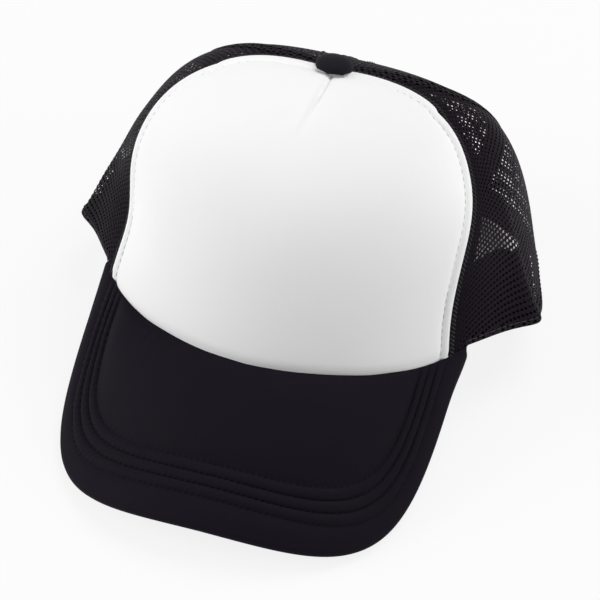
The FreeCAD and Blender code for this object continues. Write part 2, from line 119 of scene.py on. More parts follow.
def ratio(name, default, about):
    return FloatProperty(name=name, description=about, default=default, precision=4)


def whole(name, default, about):
    return IntProperty(name=name, description=about, default=default)


def colour(name, default, about):
    return FloatVectorProperty(name=name, description=about, default=default, size=3,
                               subtype="COLOR", min=0.0, max=1.0)


class CrownSizes(bpy.types.PropertyGroup):
    half_width: length("Half width", 0.0925, "Half the crown's width at the rim")
    front: length("Front", 0.085, "From the opening's centre to the front of the rim")
    rear: length("Rear", 0.085, "From the opening's centre to the back of the rim")
    front_round: ratio("Front roundness", 1.86, "Outline's power in front: 2 is an ellipse")
    rear_round: ratio("Rear roundness", 3.15, "Outline's power behind: 2 is an ellipse")
    side_drop: length("Side drop", 0.001, "How far the rim hangs at the side corners")
    rear_drop: length("Rear drop", 0.005, "How far the rim hangs at the back")
    height: length("Height", 0.0949, "From the opening to the top of the crown")
    setback: length("Button setback", 0.0036, "How far the button sits behind the centre")
    dome_root: ratio("Dome root", 1.92, "How round the top of the crown is")
    side_taper: ratio("Side taper", 0.13, "How much the sides lean in")
    side_power: ratio("Side power", 4.79, "How late the sides turn in")
    front_taper: ratio("Front taper", 0.19, "How much the front leans back")
    front_power: ratio("Front power", 4.02, "How late the front turns in")
    rear_taper: ratio("Rear taper", 0.17, "How much the back leans in")
    rear_power: ratio("Rear power", 2.04, "How late the back turns in")
    flare: ratio("Flare", 0.15, "How far the side corners stand out, as a share")
    flare_angle: angle("Flare angle", 87.4, "Where the side corners are")
    flare_width: angle("Flare width", 9.4, "How wide a side corner is")
    flare_fade: ratio("Flare fade", 2.95, "How fast a corner fades upwards")
    front_seam_rim: angle("Front seam at rim", 57.0, "Where the front seam starts")
    front_seam_top: angle("Front seam at top", 100.2, "Where the front seam ends")
    front_seam_curve: ratio("Front seam curve", 2.6, "How late the front seam swings back")
    rear_seam_rim: angle("Rear seam at rim", 156.0, "Where the rear seam starts")
    rear_seam_top: angle("Rear seam at top", 126.0, "Where the rear seam ends")
    rear_seam_reach: ratio("Rear seam reach", 0.92, "Height where the rear seam is straight")


class FoamSizes(bpy.types.PropertyGroup):
    thickness: length("Thickness", 0.0028, "Foam and cloth of the front panel")
    proud: length("Proud", 0.0011, "How far the foam stands off the crown's surface")
    lip: length("Lip", 0.0042, "From the seam to the row of stitches beside it")
    lip_rise: length("Lip rise", 0.0014, "How high the turned edge stands")
    seam_sink: length("Seam sink", 0.0009, "How far the seam lies below the surface")
    plump: length("Plump", 0.0017, "How soon the foam is full again past the stitches")
    dart_length: length("Dart length", 0.050, "Sewn dart down from the button")
    dart_depth: length("Dart depth", 0.0011, "How deep the dart is sunk")
    dart_width: length("Dart width", 0.0012, "Half width of the dart's furrow")


class NetSizes(bpy.types.PropertyGroup):
    pitch: length("Pitch", 0.0022, "From one hole to the next along a row")
    row: length("Row", 0.0028, "From one row of holes to the next")
    hole: ratio("Hole", 0.72, "Hole's width as a share of the pitch")
    hole_height: ratio("Hole height", 0.68, "Hole's height as a share of the row")
    rib: length("Rib", 0.0005, "How far the walls between the rows are raised")
    rib_share: ratio("Rib share", 0.07, "How much wider those walls are, as a share of a row")
    thickness: length("Thickness", 0.00016, "How thick the net is")
    dip: length("Dip", 0.021, "How far the rows run down beside the front seam")
    dip_reach: length("Dip reach", 0.013, "How far from the front seam the rows still run down")
    tuck: length("Tuck", 0.0015, "How far the net goes in under a seam")
    seam_band: length("Seam band", 0.0024, "Sewn edge of the net beside the foam panel")
    ridge: length("Ridge", 0.0040, "Half width of a turned and stitched seam")
    hem: length("Hem", 0.0030, "Height of the turned hem")


class BandSizes(bpy.types.PropertyGroup):
    height: length("Height", 0.034, "Height of the sweatband in front")
    side_height: length("Side height", 0.0115, "Height that it sags to behind the ears")
    sag_start: angle("Sag start", 80.0, "Where it starts to sag")
    sag_span: angle("Sag span", 28.0, "Over which angle it sags")
    end_half: length("End", 0.061, "Where the sweatband stops beside the rear opening")
    outer: length("Outer", -0.0027, "Its back, measured from the crown's surface")
    padding: length("Padding", 0.0017, "Thickness of the foam in it")
    swell: length("Swell", 0.0009, "How far the cloth swells over the foam")
    cover: length("Cover", 0.0006, "Thickness of its cloth")


class RearOpeningSizes(bpy.types.PropertyGroup):
    half_width: length("Half width", 0.044, "Half the width of the half-moon opening")
    height: length("Height", 0.050, "Height of the opening")
    spring: length("Spring", 0.008, "Height of its straight sides")
    binding: length("Binding", 0.0065, "Width of the binding round it")
    tape: length("Tape", 0.011, "Width of the tape inside a seam")


class VisorSizes(bpy.types.PropertyGroup):
    end_angle: angle("End angle", 62.4, "Where the visor ends on the rim")
    reach: length("Reach", 0.0587, "How far it reaches in front of the rim")
    half_width: length("Half width", 0.0825, "Half its greatest width")
    pitch: ratio("Pitch", 0.79, "Its slope down to the front")
    corner: ratio("Corner", 4.3, "How square its corners are")
    edge: ratio("Edge", 2.12, "How full its outline is")
    seam_drop: length("Seam drop", 0.00125, "How far its seam lies under the rim")
    tip: length("Tip", 0.0018, "How far its tips stand off the crown")
    thickness: length("Thickness", 0.0055, "Board, foam and cloth together")
    root: length("Root", 0.014, "From the seam to where the edge stands square to the cloth")
    first_row: length("First row", 0.0108, "From the front edge to the first row of stitches")
    row_pitch: length("Row pitch", 0.0038, "From one row to the next")
    rows: whole("Rows", 4, "How many rows of stitches it has")
    row_corner: ratio("Row corner", 0.8, "How much squarer the corners of the rows are")
    first_share: ratio("First share", 0.61, "The first distance at the sides, as a share")
    side_share: ratio("Side share", 0.71, "The pitch at the sides, as a share")
    edge_puff: length("Edge puff", 0.0008, "How far the outer strip swells")
    row_puff: length("Row puff", 0.0013, "How far the cloth swells between two rows")
    field_puff: length("Field puff", 0.0030, "How far the middle swells")
    field_reach: length("Field reach", 0.0045, "How soon the middle is full past the last row")
    stitch: length("Stitch", 0.0027, "From one stitch to the next")
    pucker: length("Pucker", 0.00045, "How far the cloth rises between two stitches")


class ButtonSizes(bpy.types.PropertyGroup):
    radius: length("Radius", 0.0083, "Radius of the button")
    height: length("Height", 0.0050, "Height of the button")
    depth: ratio("Depth", 0.93, "Its size from front to back, as a share of its width")
    back: length("Back", 0.0010, "How far it sits behind the crown's highest point")
    lift: length("Lift", 0.0012, "How high its widest place lies over the crown")
    pleats: whole("Pleats", 8, "Soft corners where the cloth is gathered")
    pleat: ratio("Pleat", 0.03, "Depth of the pleats, as a share of the radius")
    turn: angle("Turn", -97.0, "Where one of the corners points")
    skirt: length("Skirt", 0.0007, "How far its cloth goes down below its widest place")
    tip: angle("Tip", 6.0, "How far it is tipped back")


class StitchSizes(bpy.types.PropertyGroup):
    stitch: length("Stitch", 0.0027, "Length of one stitch")
    gap: length("Gap", 0.0007, "From one stitch to the next")
    thread: length("Thread", 0.00024, "Radius of the thread")


class CapColours(bpy.types.PropertyGroup):
    foam: colour("Foam front", (0.93, 0.93, 0.93), "White knit on the foam")
    net: colour("Net", (0.0080, 0.0046, 0.0088), "Black nylon net")
    visor: colour("Visor", (0.0075, 0.0052, 0.0105), "Black cloth of the visor")
    band: colour("Band", (0.008, 0.0072, 0.009), "Black cloth of the sweatband and tapes")
    button: colour("Button", (0.010, 0.0095, 0.014), "Black cloth of the button")
    plastic: colour("Strap", (0.014, 0.014, 0.015), "Black plastic of the straps")
    metal: colour("Metal", (0.56, 0.56, 0.58), "Rivet, washer and shell of the button")
    white_thread: colour("White thread", (0.68, 0.69, 0.70), "Thread in the foam front")
    black_thread: colour("Black thread", (0.016, 0.0145, 0.019), "Thread everywhere else")


class SettleSizes(bpy.types.PropertyGroup):
    left_angle: angle("Left angle", -59.0, "Where the left side has sunk in")
    left_height: ratio("Left height", 0.30, "How high up that is")
    left_dent: length("Left dent", 0.0045, "How far it has sunk in")
    left_spread: length("Left spread", 0.017, "How wide that place is")
    right_angle: angle("Right angle", 78.0, "Where the right side has sunk in")
    right_height: ratio("Right height", 0.76, "How high up that is")
    right_dent: length("Right dent", 0.0035, "How far it has sunk in")
    right_spread: length("Right spread", 0.020, "How wide that place is")
    top_angle: angle("Top angle", -82.0, "Where the top has sunk in")
    top_height: ratio("Top height", 0.83, "How high up that is")
    top_dent: length("Top dent", 0.0015, "How far it has sunk in")
    top_spread: length("Top spread", 0.028, "How wide that place is")
    shift: length("Shift", 0.0031, "How far the button has moved to the wearer's left")
    shift_spread: length("Shift spread", 0.026, "How wide the part is that has moved with it")
    back_angle: angle("Back angle", 118.0, "Where the seam behind stands out")
    back_height: ratio("Back height", 0.76, "How high up that is")
    back_dent: length("Back dent", -0.0014, "How far it has sunk in, negative where it stands out")
    back_spread: length("Back spread", 0.013, "How wide that place is")
    ear_angle: angle("Ear angle", -88.0, "Where the left corner stands out")
    ear_height: ratio("Ear height", 0.2, "How high up that is")
    ear_dent: length("Ear dent", -0.0016, "How far it has sunk in, negative where it stands out")
    ear_spread: length("Ear spread", 0.014, "How wide that place is")


class StageSizes(bpy.types.PropertyGroup):
    azimuth: angle("Azimuth", 19.635, "The camera's direction round the cap")
    elevation: angle("Elevation", 48.166, "The camera's height over the horizon")
    roll: angle("Roll", -1.359, "The camera's roll")
    distance: length("Distance", 1.595, "From the camera to the point it looks at")
    lens: ratio("Lens", 215.6, "Focal length in millimetres on a 36 mm sensor")
    aim: FloatVectorProperty(name="Aim", description="The point that the camera looks at",
                             default=(-0.00338, -0.00586, -0.02173), size=3, unit="LENGTH")


GROUPS = {
    "cap_crown": CrownSizes, "cap_foam": FoamSizes, "cap_net": NetSizes,
    "cap_band": BandSizes, "cap_rear": RearOpeningSizes, "cap_visor": VisorSizes,
    "cap_button": ButtonSizes, "cap_stitch": StitchSizes, "cap_colour": CapColours,
    "cap_settle": SettleSizes, "cap_stage": StageSizes,
}


def sizes(name):
    """The values of a property group, read once."""
    group = getattr(bpy.context.scene, "cap_" + name)
    return SimpleNamespace(**{key: getattr(group, key) for key in type(group).__annotations__})


# Shape of the crown, level with the head opening, in metres and radians


def power(value, exponent):
    return math.copysign(abs(value) ** exponent, value)


def ease(t):
    t = min(1.0, max(0.0, t))
    return t * t * (3.0 - 2.0 * t)


def seat(point):
    """A point of the level cap, as the cap stands on a table."""
    return TIPPED @ point


class Crown:
    """The crown's surface: an angle from the front centre, and a height from 0 at the rim to 1."""

    HEIGHTS = 80
    ANGLES = 180

    def __init__(self, visor):
        self.s = sizes("crown")
        self.visor = visor
        self.rows = [self.row(j / self.HEIGHTS) for j in range(self.HEIGHTS)]

    def rim(self, phi):
        s = self.s
        if math.cos(phi) > 0.0:
            e = 2.0 / s.front_round
            return s.half_width * power(math.sin(phi), e), -s.front * power(math.cos(phi), e)
        e = 2.0 / s.rear_round
        return s.half_width * power(math.sin(phi), e), -s.rear * power(math.cos(phi), e)

    def bump(self, offset):
        return 1.0 / math.sqrt(1.0 + 3.0 * (offset / self.s.flare_width) ** 2)

    def stretch(self, phi, h):
        a = abs(phi)
        a = 2.0 * HALF_TURN - a if a > HALF_TURN else a
        if a <= self.visor.end_angle:
            return 1.0
        end = self.visor.end_angle if a < self.s.flare_angle else HALF_TURN
        low = self.bump(end - self.s.flare_angle)
        g = max(0.0, (self.bump(a - self.s.flare_angle) - low) / (1.0 - low))
        return 1.0 + self.s.flare * g * max(0.0, 1.0 - h) ** self.s.flare_fade

    def visor_level(self, x, y):
        s = self.visor
        end_x = self.rim(s.end_angle)[0]
        return -s.seam_drop - self.visor_sag() * (x / end_x) ** 2 + s.pitch * (y + self.s.front)

    def visor_sag(self):
        return -self.visor.seam_drop + self.visor.pitch * (self.s.front + self.rim(self.visor.end_angle)[1])

    def rim_level(self, phi):
        a = abs(phi)
        a = 2.0 * HALF_TURN - a if a > HALF_TURN else a
        s = self.s
        end = self.visor.end_angle
        if a <= end:
            return self.visor_level(*self.rim(a))
        side = ease((a - end) / (s.flare_angle - end))
        rear = ease((a - s.flare_angle) / (HALF_TURN - s.flare_angle))
        return -s.side_drop * side - (s.rear_drop - s.side_drop) * rear

    def profile(self, h, taper, strength):
        return (1.0 - taper * h) * max(0.0, 1.0 - h ** strength) ** (1.0 / self.s.dome_root)

    def point(self, phi, h):
        s = self.s
        up = max(0.0, h)
        x, y = self.rim(phi)
        k = self.stretch(phi, up)
        taper, strength = (s.front_taper, s.front_power) if y < 0.0 else (s.rear_taper, s.rear_power)
        ry = self.profile(up, taper, strength)
        rx = self.profile(up, s.side_taper, s.side_power)
        z = self.rim_level(phi) * (1.0 - up) + s.height * h
        return Vector((x * rx * k, y * ry * k + s.setback * up, z))

    def normal(self, phi, h):
        up = min(0.9995, max(0.001, h))
        step = min(0.0005, 0.4 * (1.0 - up))
        along = self.point(phi + 0.001, up) - self.point(phi - 0.001, up)
        rise = self.point(phi, up + step) - self.point(phi, up - step)
        return along.cross(rise).normalized()

    def lifted(self, phi, h, distance):
        return self.point(phi, h) + self.normal(phi, h) * distance

    def row(self, h):
        total = 0.0
        last = self.point(0.0, h)
        lengths = [0.0]
        for k in range(1, self.ANGLES + 1):
            here = self.point(HALF_TURN * k / self.ANGLES, h)
            total += (here - last).length
            last = here
            lengths.append(total)
        return lengths

    def level(self, h):
        j = min(max(h, 0.0) * self.HEIGHTS, self.HEIGHTS - 1.001)
        return int(j), j - int(j)

    def arc(self, phi, h):
        """Length along the row at a height, from the front centre to an angle."""
        j, f = self.level(h)
        k = min(max(phi, 0.0) / HALF_TURN * self.ANGLES, self.ANGLES - 0.0001)
        i, g = int(k), k - int(k)
        low, high = self.rows[j], self.rows[j + 1]
        a = low[i] + (low[i + 1] - low[i]) * g
        b = high[i] + (high[i + 1] - high[i]) * g
        return a + (b - a) * f

    def angle_at(self, arc, h):
        """The angle that lies a given length along the row at a height."""
        j, f = self.level(h)
        low, high = self.rows[j], self.rows[j + 1]

        def gone(i):
            return low[i] + (high[i] - low[i]) * f

        first, last = 0, self.ANGLES
        while last - first > 1:
            middle = (first + last) // 2
            first, last = (first, middle) if gone(middle) > arc else (middle, last)
        return (first + (arc - gone(first)) / (gone(last) - gone(first))) * HALF_TURN / self.ANGLES

    def front_seam(self, h):
        s = self.s
        return s.front_seam_rim + (s.front_seam_top - s.front_seam_rim) * max(0.0, h) ** s.front_seam_curve

    def rear_seam(self, h):
        s = self.s
        return s.rear_seam_rim - (s.rear_seam_rim - s.rear_seam_top) * ease(h / s.rear_seam_reach)

    def radius(self, phi, h):
        p = self.point(phi, h)
        return math.hypot(p.x, p.y - self.s.setback)

    def height_at(self, phi, radius):
        low, high = 0.3, 1.0
        for _ in range(30):
            middle = 0.5 * (low + high)
            if self.radius(phi, middle) > radius:
                low = middle
            else:
                high = middle
        return low

    def ladder(self, phi, count=200):
        """Heights against the length climbed from the rim, up the crown at one angle."""
        climbed, heights = [0.0], [0.0]
        last = self.point(phi, 0.0)
        for i in range(1, count + 1):
            h = 1.0 - (1.0 - i / count) ** 2
            here = self.point(phi, h)
            climbed.append(climbed[-1] + (here - last).length)
            heights.append(h)
            last = here
        return climbed, heights

    def rear_angle_height(self, x, z):
        """Angle and height of the point behind that has this x and z."""
        h = max(0.0, (z + self.s.rear_drop) / (self.s.height + self.s.rear_drop))
        low, high = math.radians(100.0), HALF_TURN
        for _ in range(30):
            phi = 0.5 * (low + high)
            h = (z - self.rim_level(phi)) / (self.s.height - self.rim_level(phi))
            if self.point(phi, h).x > abs(x):
                low = phi
            else:
                high = phi
        return (phi if x >= 0.0 else 2.0 * HALF_TURN - phi), h


class Visor:
    """The visor's outline, its rows of stitches and the height of its cloth."""

    SAMPLES = 400

    def __init__(self):
        self.s = sizes("visor")
        self.crown = Crown(self.s)
        self.end_x, self.end_y = self.crown.rim(self.s.end_angle)
        self.start_x = self.end_x + self.s.tip
        self.span = self.crown.s.front + self.s.reach + self.end_y
        self.slope = math.hypot(1.0, self.s.pitch)
        self.outline = [self.outline_point(i / self.SAMPLES) for i in range(self.SAMPLES + 1)]
        self.lengths = [0.0]
        for a, b in zip(self.outline[:-1], self.outline[1:]):
            self.lengths.append(self.lengths[-1] + math.dist(a, b))
        self.seam_length = self.crown.arc(self.s.end_angle, 0.0)

    def half_width(self, q, squarer=0.0):
        base = self.start_x + (self.s.half_width - self.start_x) * (1.0 - (1.0 - q) ** 2)
        return base * max(0.0, 1.0 - q ** (self.s.corner + squarer)) ** (1.0 / self.s.edge)

    def outline_point(self, t):
        q = math.sin(0.5 * math.pi * t)
        return self.half_width(q), self.end_y - self.span * q

    def edge(self, side):
        """Point of the outline: 0 at the front centre, -1 and 1 at the tips."""
        want = self.lengths[-1] * (1.0 - abs(side))
        i = min(bisect.bisect_right(self.lengths, want), self.SAMPLES) - 1
        f = (want - self.lengths[i]) / (self.lengths[i + 1] - self.lengths[i])
        a, b = self.outline[i], self.outline[i + 1]
        x = a[0] + (b[0] - a[0]) * f
        return math.copysign(x, side), a[1] + (b[1] - a[1]) * f

    def seam(self, side):
        phi = self.crown.angle_at(abs(side) * self.seam_length, 0.0)
        x, y = self.crown.rim(phi)
        normal = self.crown.normal(phi, 0.001)
        return math.copysign(x + normal.x * MM * 0.4, side), y + normal.y * MM * 0.4

    def side_inset(self, depth):
        s = self.s
        return s.first_share * min(depth, s.first_row) + s.side_share * max(0.0, depth - s.first_row)

    def within(self, x, y, depth):
        """Whether a point lies further in than the outline shrunk by a depth."""
        q = (self.end_y - y) / (self.span - depth)
        if q >= 1.0:
            return False
        squarer = self.s.row_corner * ease(depth / self.s.first_row)
        shrink = 1.0 - self.side_inset(depth) / self.s.half_width
        return self.half_width(max(0.0, q), squarer) * shrink > abs(x)

    def inward(self, x, y):
        """How far inside the front edge a point lies, on the outline shrunk to pass through it."""
        low, high = 0.0, self.span * 0.98
        for _ in range(22):
            middle = 0.5 * (low + high)
            low, high = (middle, high) if self.within(x, y, middle) else (low, middle)
        return low

    def at(self, side, fraction):
        """Plan point a share of the way from the edge (0) to the crown's seam (1)."""
        ex, ey = self.edge(side)
        sx, sy = self.seam(side)
        return ex + (sx - ex) * fraction, ey + (sy - ey) * fraction

    def fraction(self, side, depth):
        """Share of the way in from the edge at which the cloth lies this far inside it."""
        if not self.within(*self.at(side, 1.0), depth):
            return 1.0
        low, high = 0.0, 1.0
        for _ in range(18):
            middle = 0.5 * (low + high)
            low, high = (low, middle) if self.within(*self.at(side, middle), depth) else (middle, high)
        return high

    def rows(self):
        return [self.s.first_row + self.s.row_pitch * k for k in range(self.s.rows)]

    def puff(self, depth, to_seam):
        """Height of the quilted cloth over the board."""
        rows = self.rows()
        if depth < rows[0]:
            swell = self.s.edge_puff * math.sin(math.pi * depth / rows[0]) ** 0.6
        elif depth < rows[-1]:
            f = ((depth - rows[0]) % self.s.row_pitch) / self.s.row_pitch
            swell = self.s.row_puff * math.sin(math.pi * f) ** 0.7
        else:
            swell = self.s.field_puff * (1.0 - math.exp(-(depth - rows[-1]) / self.s.field_reach))
        return swell * (1.0 - math.exp(-to_seam / (2.2 * MM)))

    def place(self, x, y, down, away):
        """A point under the top cloth: straight down at the seam, square to the cloth away from it."""
        lean = -2.0 * self.crown.visor_sag() * x / self.end_x ** 2
        stretch = math.sqrt(1.0 + lean ** 2 + self.s.pitch ** 2)
        square = ease(away / self.s.root)
        inward = square * down / stretch
        drop = down * ((1.0 - square) * self.slope + square / stretch)
        level = self.crown.visor_level(x, y)
        return Vector((x + inward * lean, y + inward * self.s.pitch, level - drop))

    def up(self, x):
        lean = -2.0 * self.crown.visor_sag() * x / self.end_x ** 2
        return Vector((-lean, -self.s.pitch, 1.0)).normalized()


# Modelling helpers


def clear_selection():
    if bpy.context.object and bpy.context.object.mode != "OBJECT":
        bpy.ops.object.mode_set(mode="OBJECT")
    bpy.ops.object.select_all(action="DESELECT")


def activate(piece):
    clear_selection()
    piece.select_set(True)
    bpy.context.view_layer.objects.active = piece


def named(name):
    piece = bpy.context.object
    piece.name = name
    piece.data.name = name
    return piece


def lattice(name, across, upward, place, held=None):
    """A grid primitive whose crossings (i, j) are put where place(i, j) says. Its UVs are metres."""
    clear_selection()
    bpy.ops.mesh.primitive_grid_add(x_subdivisions=across - 1, y_subdivisions=upward - 1, size=2.0)
    piece = named(name)
    spots = {}
    for vertex in piece.data.vertices:
        i = round((vertex.co.x + 1.0) * 0.5 * (across - 1))
        j = round((vertex.co.y + 1.0) * 0.5 * (upward - 1))
        spots[(i, j)] = vertex.index
    points = {key: seat(place(*key)) for key in spots}
    for key, index in spots.items():
        piece.data.vertices[index].co = points[key]
    lay_uv(piece, spots, points, across, upward)
    if held:
        group = piece.vertex_groups.new(name="held")
        group.add([index for key, index in spots.items() if held(*key)], 1.0, "REPLACE")
    return piece


def lay_uv(piece, spots, points, across, upward):
    """UVs that measure the cloth in metres along its middle row and middle column."""
    row, column = upward // 2, across // 2
    u = [0.0]
    for i in range(1, across):
        u.append(u[-1] + (points[(i, row)] - points[(i - 1, row)]).length)
    v = [0.0]
    for j in range(1, upward):
        v.append(v[-1] + (points[(column, j)] - points[(column, j - 1)]).length)
    where = {index: (u[i], v[j]) for (i, j), index in spots.items()}
    layer = piece.data.uv_layers.active or piece.data.uv_layers.new(name="cloth")
    for loop in piece.data.loops:
        layer.data[loop.index].uv = where[loop.vertex_index]


def tidy(piece, merge=0.00002):
    """Closes doubled points and points every face outwards."""
    activate(piece)
    bpy.ops.object.mode_set(mode="EDIT")
    bpy.ops.mesh.select_all(action="SELECT")
    bpy.ops.mesh.remove_doubles(threshold=merge)
    bpy.ops.mesh.dissolve_degenerate(threshold=merge * 0.5)
    bpy.ops.mesh.normals_make_consistent(inside=False)
    bpy.ops.object.mode_set(mode="OBJECT")


def face_out(piece):
    """Turns an open sheet so that most of its faces look away from the crown's middle."""
    middle = seat(Vector((0.0, 0.0, 0.02)))
    votes = sum((p.center - middle).dot(p.normal) * p.area for p in piece.data.polygons)
    if votes < 0.0:
        piece.data.flip_normals()


def modifier(piece, kind, **values):
    activate(piece)
    bpy.ops.object.modifier_add(type=kind)
    made = piece.modifiers[-1]
    for key, value in values.items():
        setattr(made, key, value)
    bpy.ops.object.modifier_apply(modifier=made.name)


def thicken(piece, thickness, offset=-1.0):
    modifier(piece, "SOLIDIFY", thickness=thickness, offset=offset, use_even_offset=False)


def smooth(piece, degrees=40.0):
    activate(piece)
    bpy.ops.object.shade_smooth_by_angle(angle=math.radians(degrees))


def mirrored(piece, name):
    """A copy on the other side of the cap, with its own mesh."""
    activate(piece)
    bpy.ops.object.duplicate()
    copy = named(name)
    bpy.ops.object.mode_set(mode="EDIT")
    bpy.ops.mesh.select_all(action="SELECT")
    bpy.ops.transform.mirror(constraint_axis=(True, False, False), center_override=(0.0, 0.0, 0.0))
    bpy.ops.mesh.flip_normals()
    bpy.ops.object.mode_set(mode="OBJECT")
    return copy


def swell(piece, most, pressure=40.0, mass=0.02):
    """Cloth simulation: a sheet held at its stitches swells under the foam's pressure, up to a limit."""
    before = [vertex.co.copy() for vertex in piece.data.vertices]
    activate(piece)
    bpy.ops.object.modifier_add(type="CLOTH")
    soft = piece.modifiers[-1]
    values = soft.settings
    values.quality = 5
    values.mass = mass
    values.tension_stiffness = values.compression_stiffness = 4.0
    values.shear_stiffness = 2.0
    values.bending_stiffness = 0.2
    values.vertex_group_mass = "held"
    values.use_pressure = True
    values.uniform_pressure_force = pressure
    values.effector_weights.gravity = 0.0
    soft.point_cache.frame_start, soft.point_cache.frame_end = 1, 20
    for step in range(1, 21):
        bpy.context.scene.frame_set(step)
    bpy.ops.object.modifier_apply(modifier=soft.name)
    bpy.context.scene.frame_set(1)
    piece.vertex_groups.clear()
    for vertex, start in zip(piece.data.vertices, before):
        moved = vertex.co - start
        if moved.length > most:
            vertex.co = start + moved * (most / moved.length)


def dress(piece, material, slot, *nodes, body="root"):
    """Gives a finished piece its material and its body, and hides the CAD nodes that it stands for."""
    piece.data.materials.clear()
    piece.data.materials.append(material)
    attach(piece, body)
    if nodes:
        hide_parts(*nodes)
    return piece


def strip(name, path, profile, closed=False):
    """A band along a path of (point, normal): profile holds its (across, height) pairs."""
    frames = []
    for k, (point, normal) in enumerate(path):
        ahead = path[min(k + 1, len(path) - 1)][0] - path[max(k - 1, 0)][0]
        across = ahead.cross(normal).normalized()
        frames.append((point, across, normal))
    ring = list(profile) + [profile[0]] if closed else list(profile)

    def place(i, j):
        point, across, normal = frames[j]
        return point + across * ring[i][0] + normal * ring[i][1]

    piece = lattice(name, len(ring), len(frames), place)
    if closed:
        activate(piece)
        bpy.ops.object.mode_set(mode="EDIT")
        bpy.ops.mesh.select_mode(type="EDGE")
        bpy.ops.mesh.select_all(action="SELECT")
        bpy.ops.mesh.remove_doubles(threshold=0.00002)
        bpy.ops.mesh.select_all(action="DESELECT")
        bpy.ops.mesh.select_non_manifold(extend=False)
        bpy.ops.mesh.edge_face_add()
        bpy.ops.mesh.select_all(action="SELECT")
        bpy.ops.mesh.normals_make_consistent(inside=False)
        bpy.ops.object.mode_set(mode="OBJECT")
    return piece


def stadium(half, low, high, steps=5):
    """A flat band's cross-section with rounded edges: half its width, from low to high."""
    middle, radius = 0.5 * (low + high), 0.5 * (high - low)
    points = []
    for side in (1.0, -1.0):
        for k in range(steps + 1):
            a = math.pi * (k / steps - 0.5)
            across = side * (half - radius + radius * math.cos(a))
            points.append((across, middle + side * radius * math.sin(a)))
    return points


def strew(name, seed, places):
    """One mesh of many copies of a small modelled shape, one at each matrix."""
    faces = [tuple(p.vertices) for p in seed.data.polygons]
    shape = [v.co.copy() for v in seed.data.vertices]
    points, cells = [], []
    for place in places:
        start = len(points)
        points.extend(place @ p for p in shape)
        cells.extend(tuple(start + k for k in face) for face in faces)
    mesh = bpy.data.meshes.new(name)
    mesh.from_pydata(points, [], cells)
    piece = bpy.data.objects.new(name, mesh)
    bpy.context.scene.collection.objects.link(piece)
    bpy.data.objects.remove(seed)
    for polygon in mesh.polygons:
        polygon.use_smooth = True
    return piece


def stitch_seed(s):
    """One stitch along X: a strand that bows up from the cloth and goes in at both ends."""
    clear_selection()
    bpy.ops.mesh.primitive_uv_sphere_add(segments=8, ring_count=6, radius=1.0)
    seed = named("stitch")
    for vertex in seed.data.vertices:
        x = vertex.co.z
        round_x = math.sqrt(max(0.0, 1.0 - x * x))
        full = min(1.0, round_x * 1.9) / max(round_x, 0.001)
        y = vertex.co.x * full * s.thread
        z = vertex.co.y * full * s.thread + s.thread * (0.4 - 1.2 * x * x)
        vertex.co = Vector((0.5 * s.stitch * x, y, z))
    return seed


def sew(name, paths, thread, slot, slant=0.0, step=None, scale=1.0):
    """Rows of stitches along paths of (point, normal)."""
    s = sizes("stitch")
    step = step or s.stitch + s.gap
    places = []
    for path in paths:
        gone, want = 0.0, 0.5 * step
        for (a, normal_a), (b, normal_b) in zip(path[:-1], path[1:]):
            run = (b - a).length
            while gone + run >= want and run > 0.0:
                f = (want - gone) / run
                places.append(stitch_place(a.lerp(b, f), b - a, normal_a.lerp(normal_b, f), slant, scale))
                want += step
            gone += run
    piece = strew(name, stitch_seed(s), places)
    dress(piece, thread, slot)
    return piece


def stitch_place(point, ahead, normal, slant, scale):
    up = seat(normal).normalized()
    along = seat(ahead).normalized()
    if slant:
        along = Matrix.Rotation(slant, 3, up) @ along
    side = up.cross(along).normalized()
    turn = Matrix((along, side, side.cross(along) * -1.0)).transposed()
    turn.col[2] = along.cross(side)
    return Matrix.Translation(seat(point)) @ turn.to_4x4() @ Matrix.Scale(scale, 4)


# Materials


class Tree:
    """A short way to write shader nodes."""

    def __init__(self, tree):
        self.tree = tree

    def add(self, kind, inputs=None, **values):
        node = self.tree.nodes.new(kind)
        for key, value in values.items():
            setattr(node, key, value)
        for key, value in (inputs or {}).items():
            socket = node.inputs[key]
            if isinstance(value, bpy.types.NodeSocket):
                self.tree.links.new(value, socket)
            else:
                socket.default_value = value
        return node

    def math(self, operation, a, b=0.0, c=0.0, clamp=False):
        return self.add("ShaderNodeMath", {0: a, 1: b, 2: c}, operation=operation,
                        use_clamp=clamp).outputs[0]


def node_group(name, inputs, outputs):
    tree = bpy.data.node_groups.new(name, "ShaderNodeTree")
    for label, kind, value in inputs:
        socket = tree.interface.new_socket(name=label, in_out="INPUT", socket_type=kind)
        socket.default_value = value
    for label, kind in outputs:
        tree.interface.new_socket(name=label, in_out="OUTPUT", socket_type=kind)
    t = Tree(tree)
    return t, t.add("NodeGroupInput"), t.add("NodeGroupOutput")


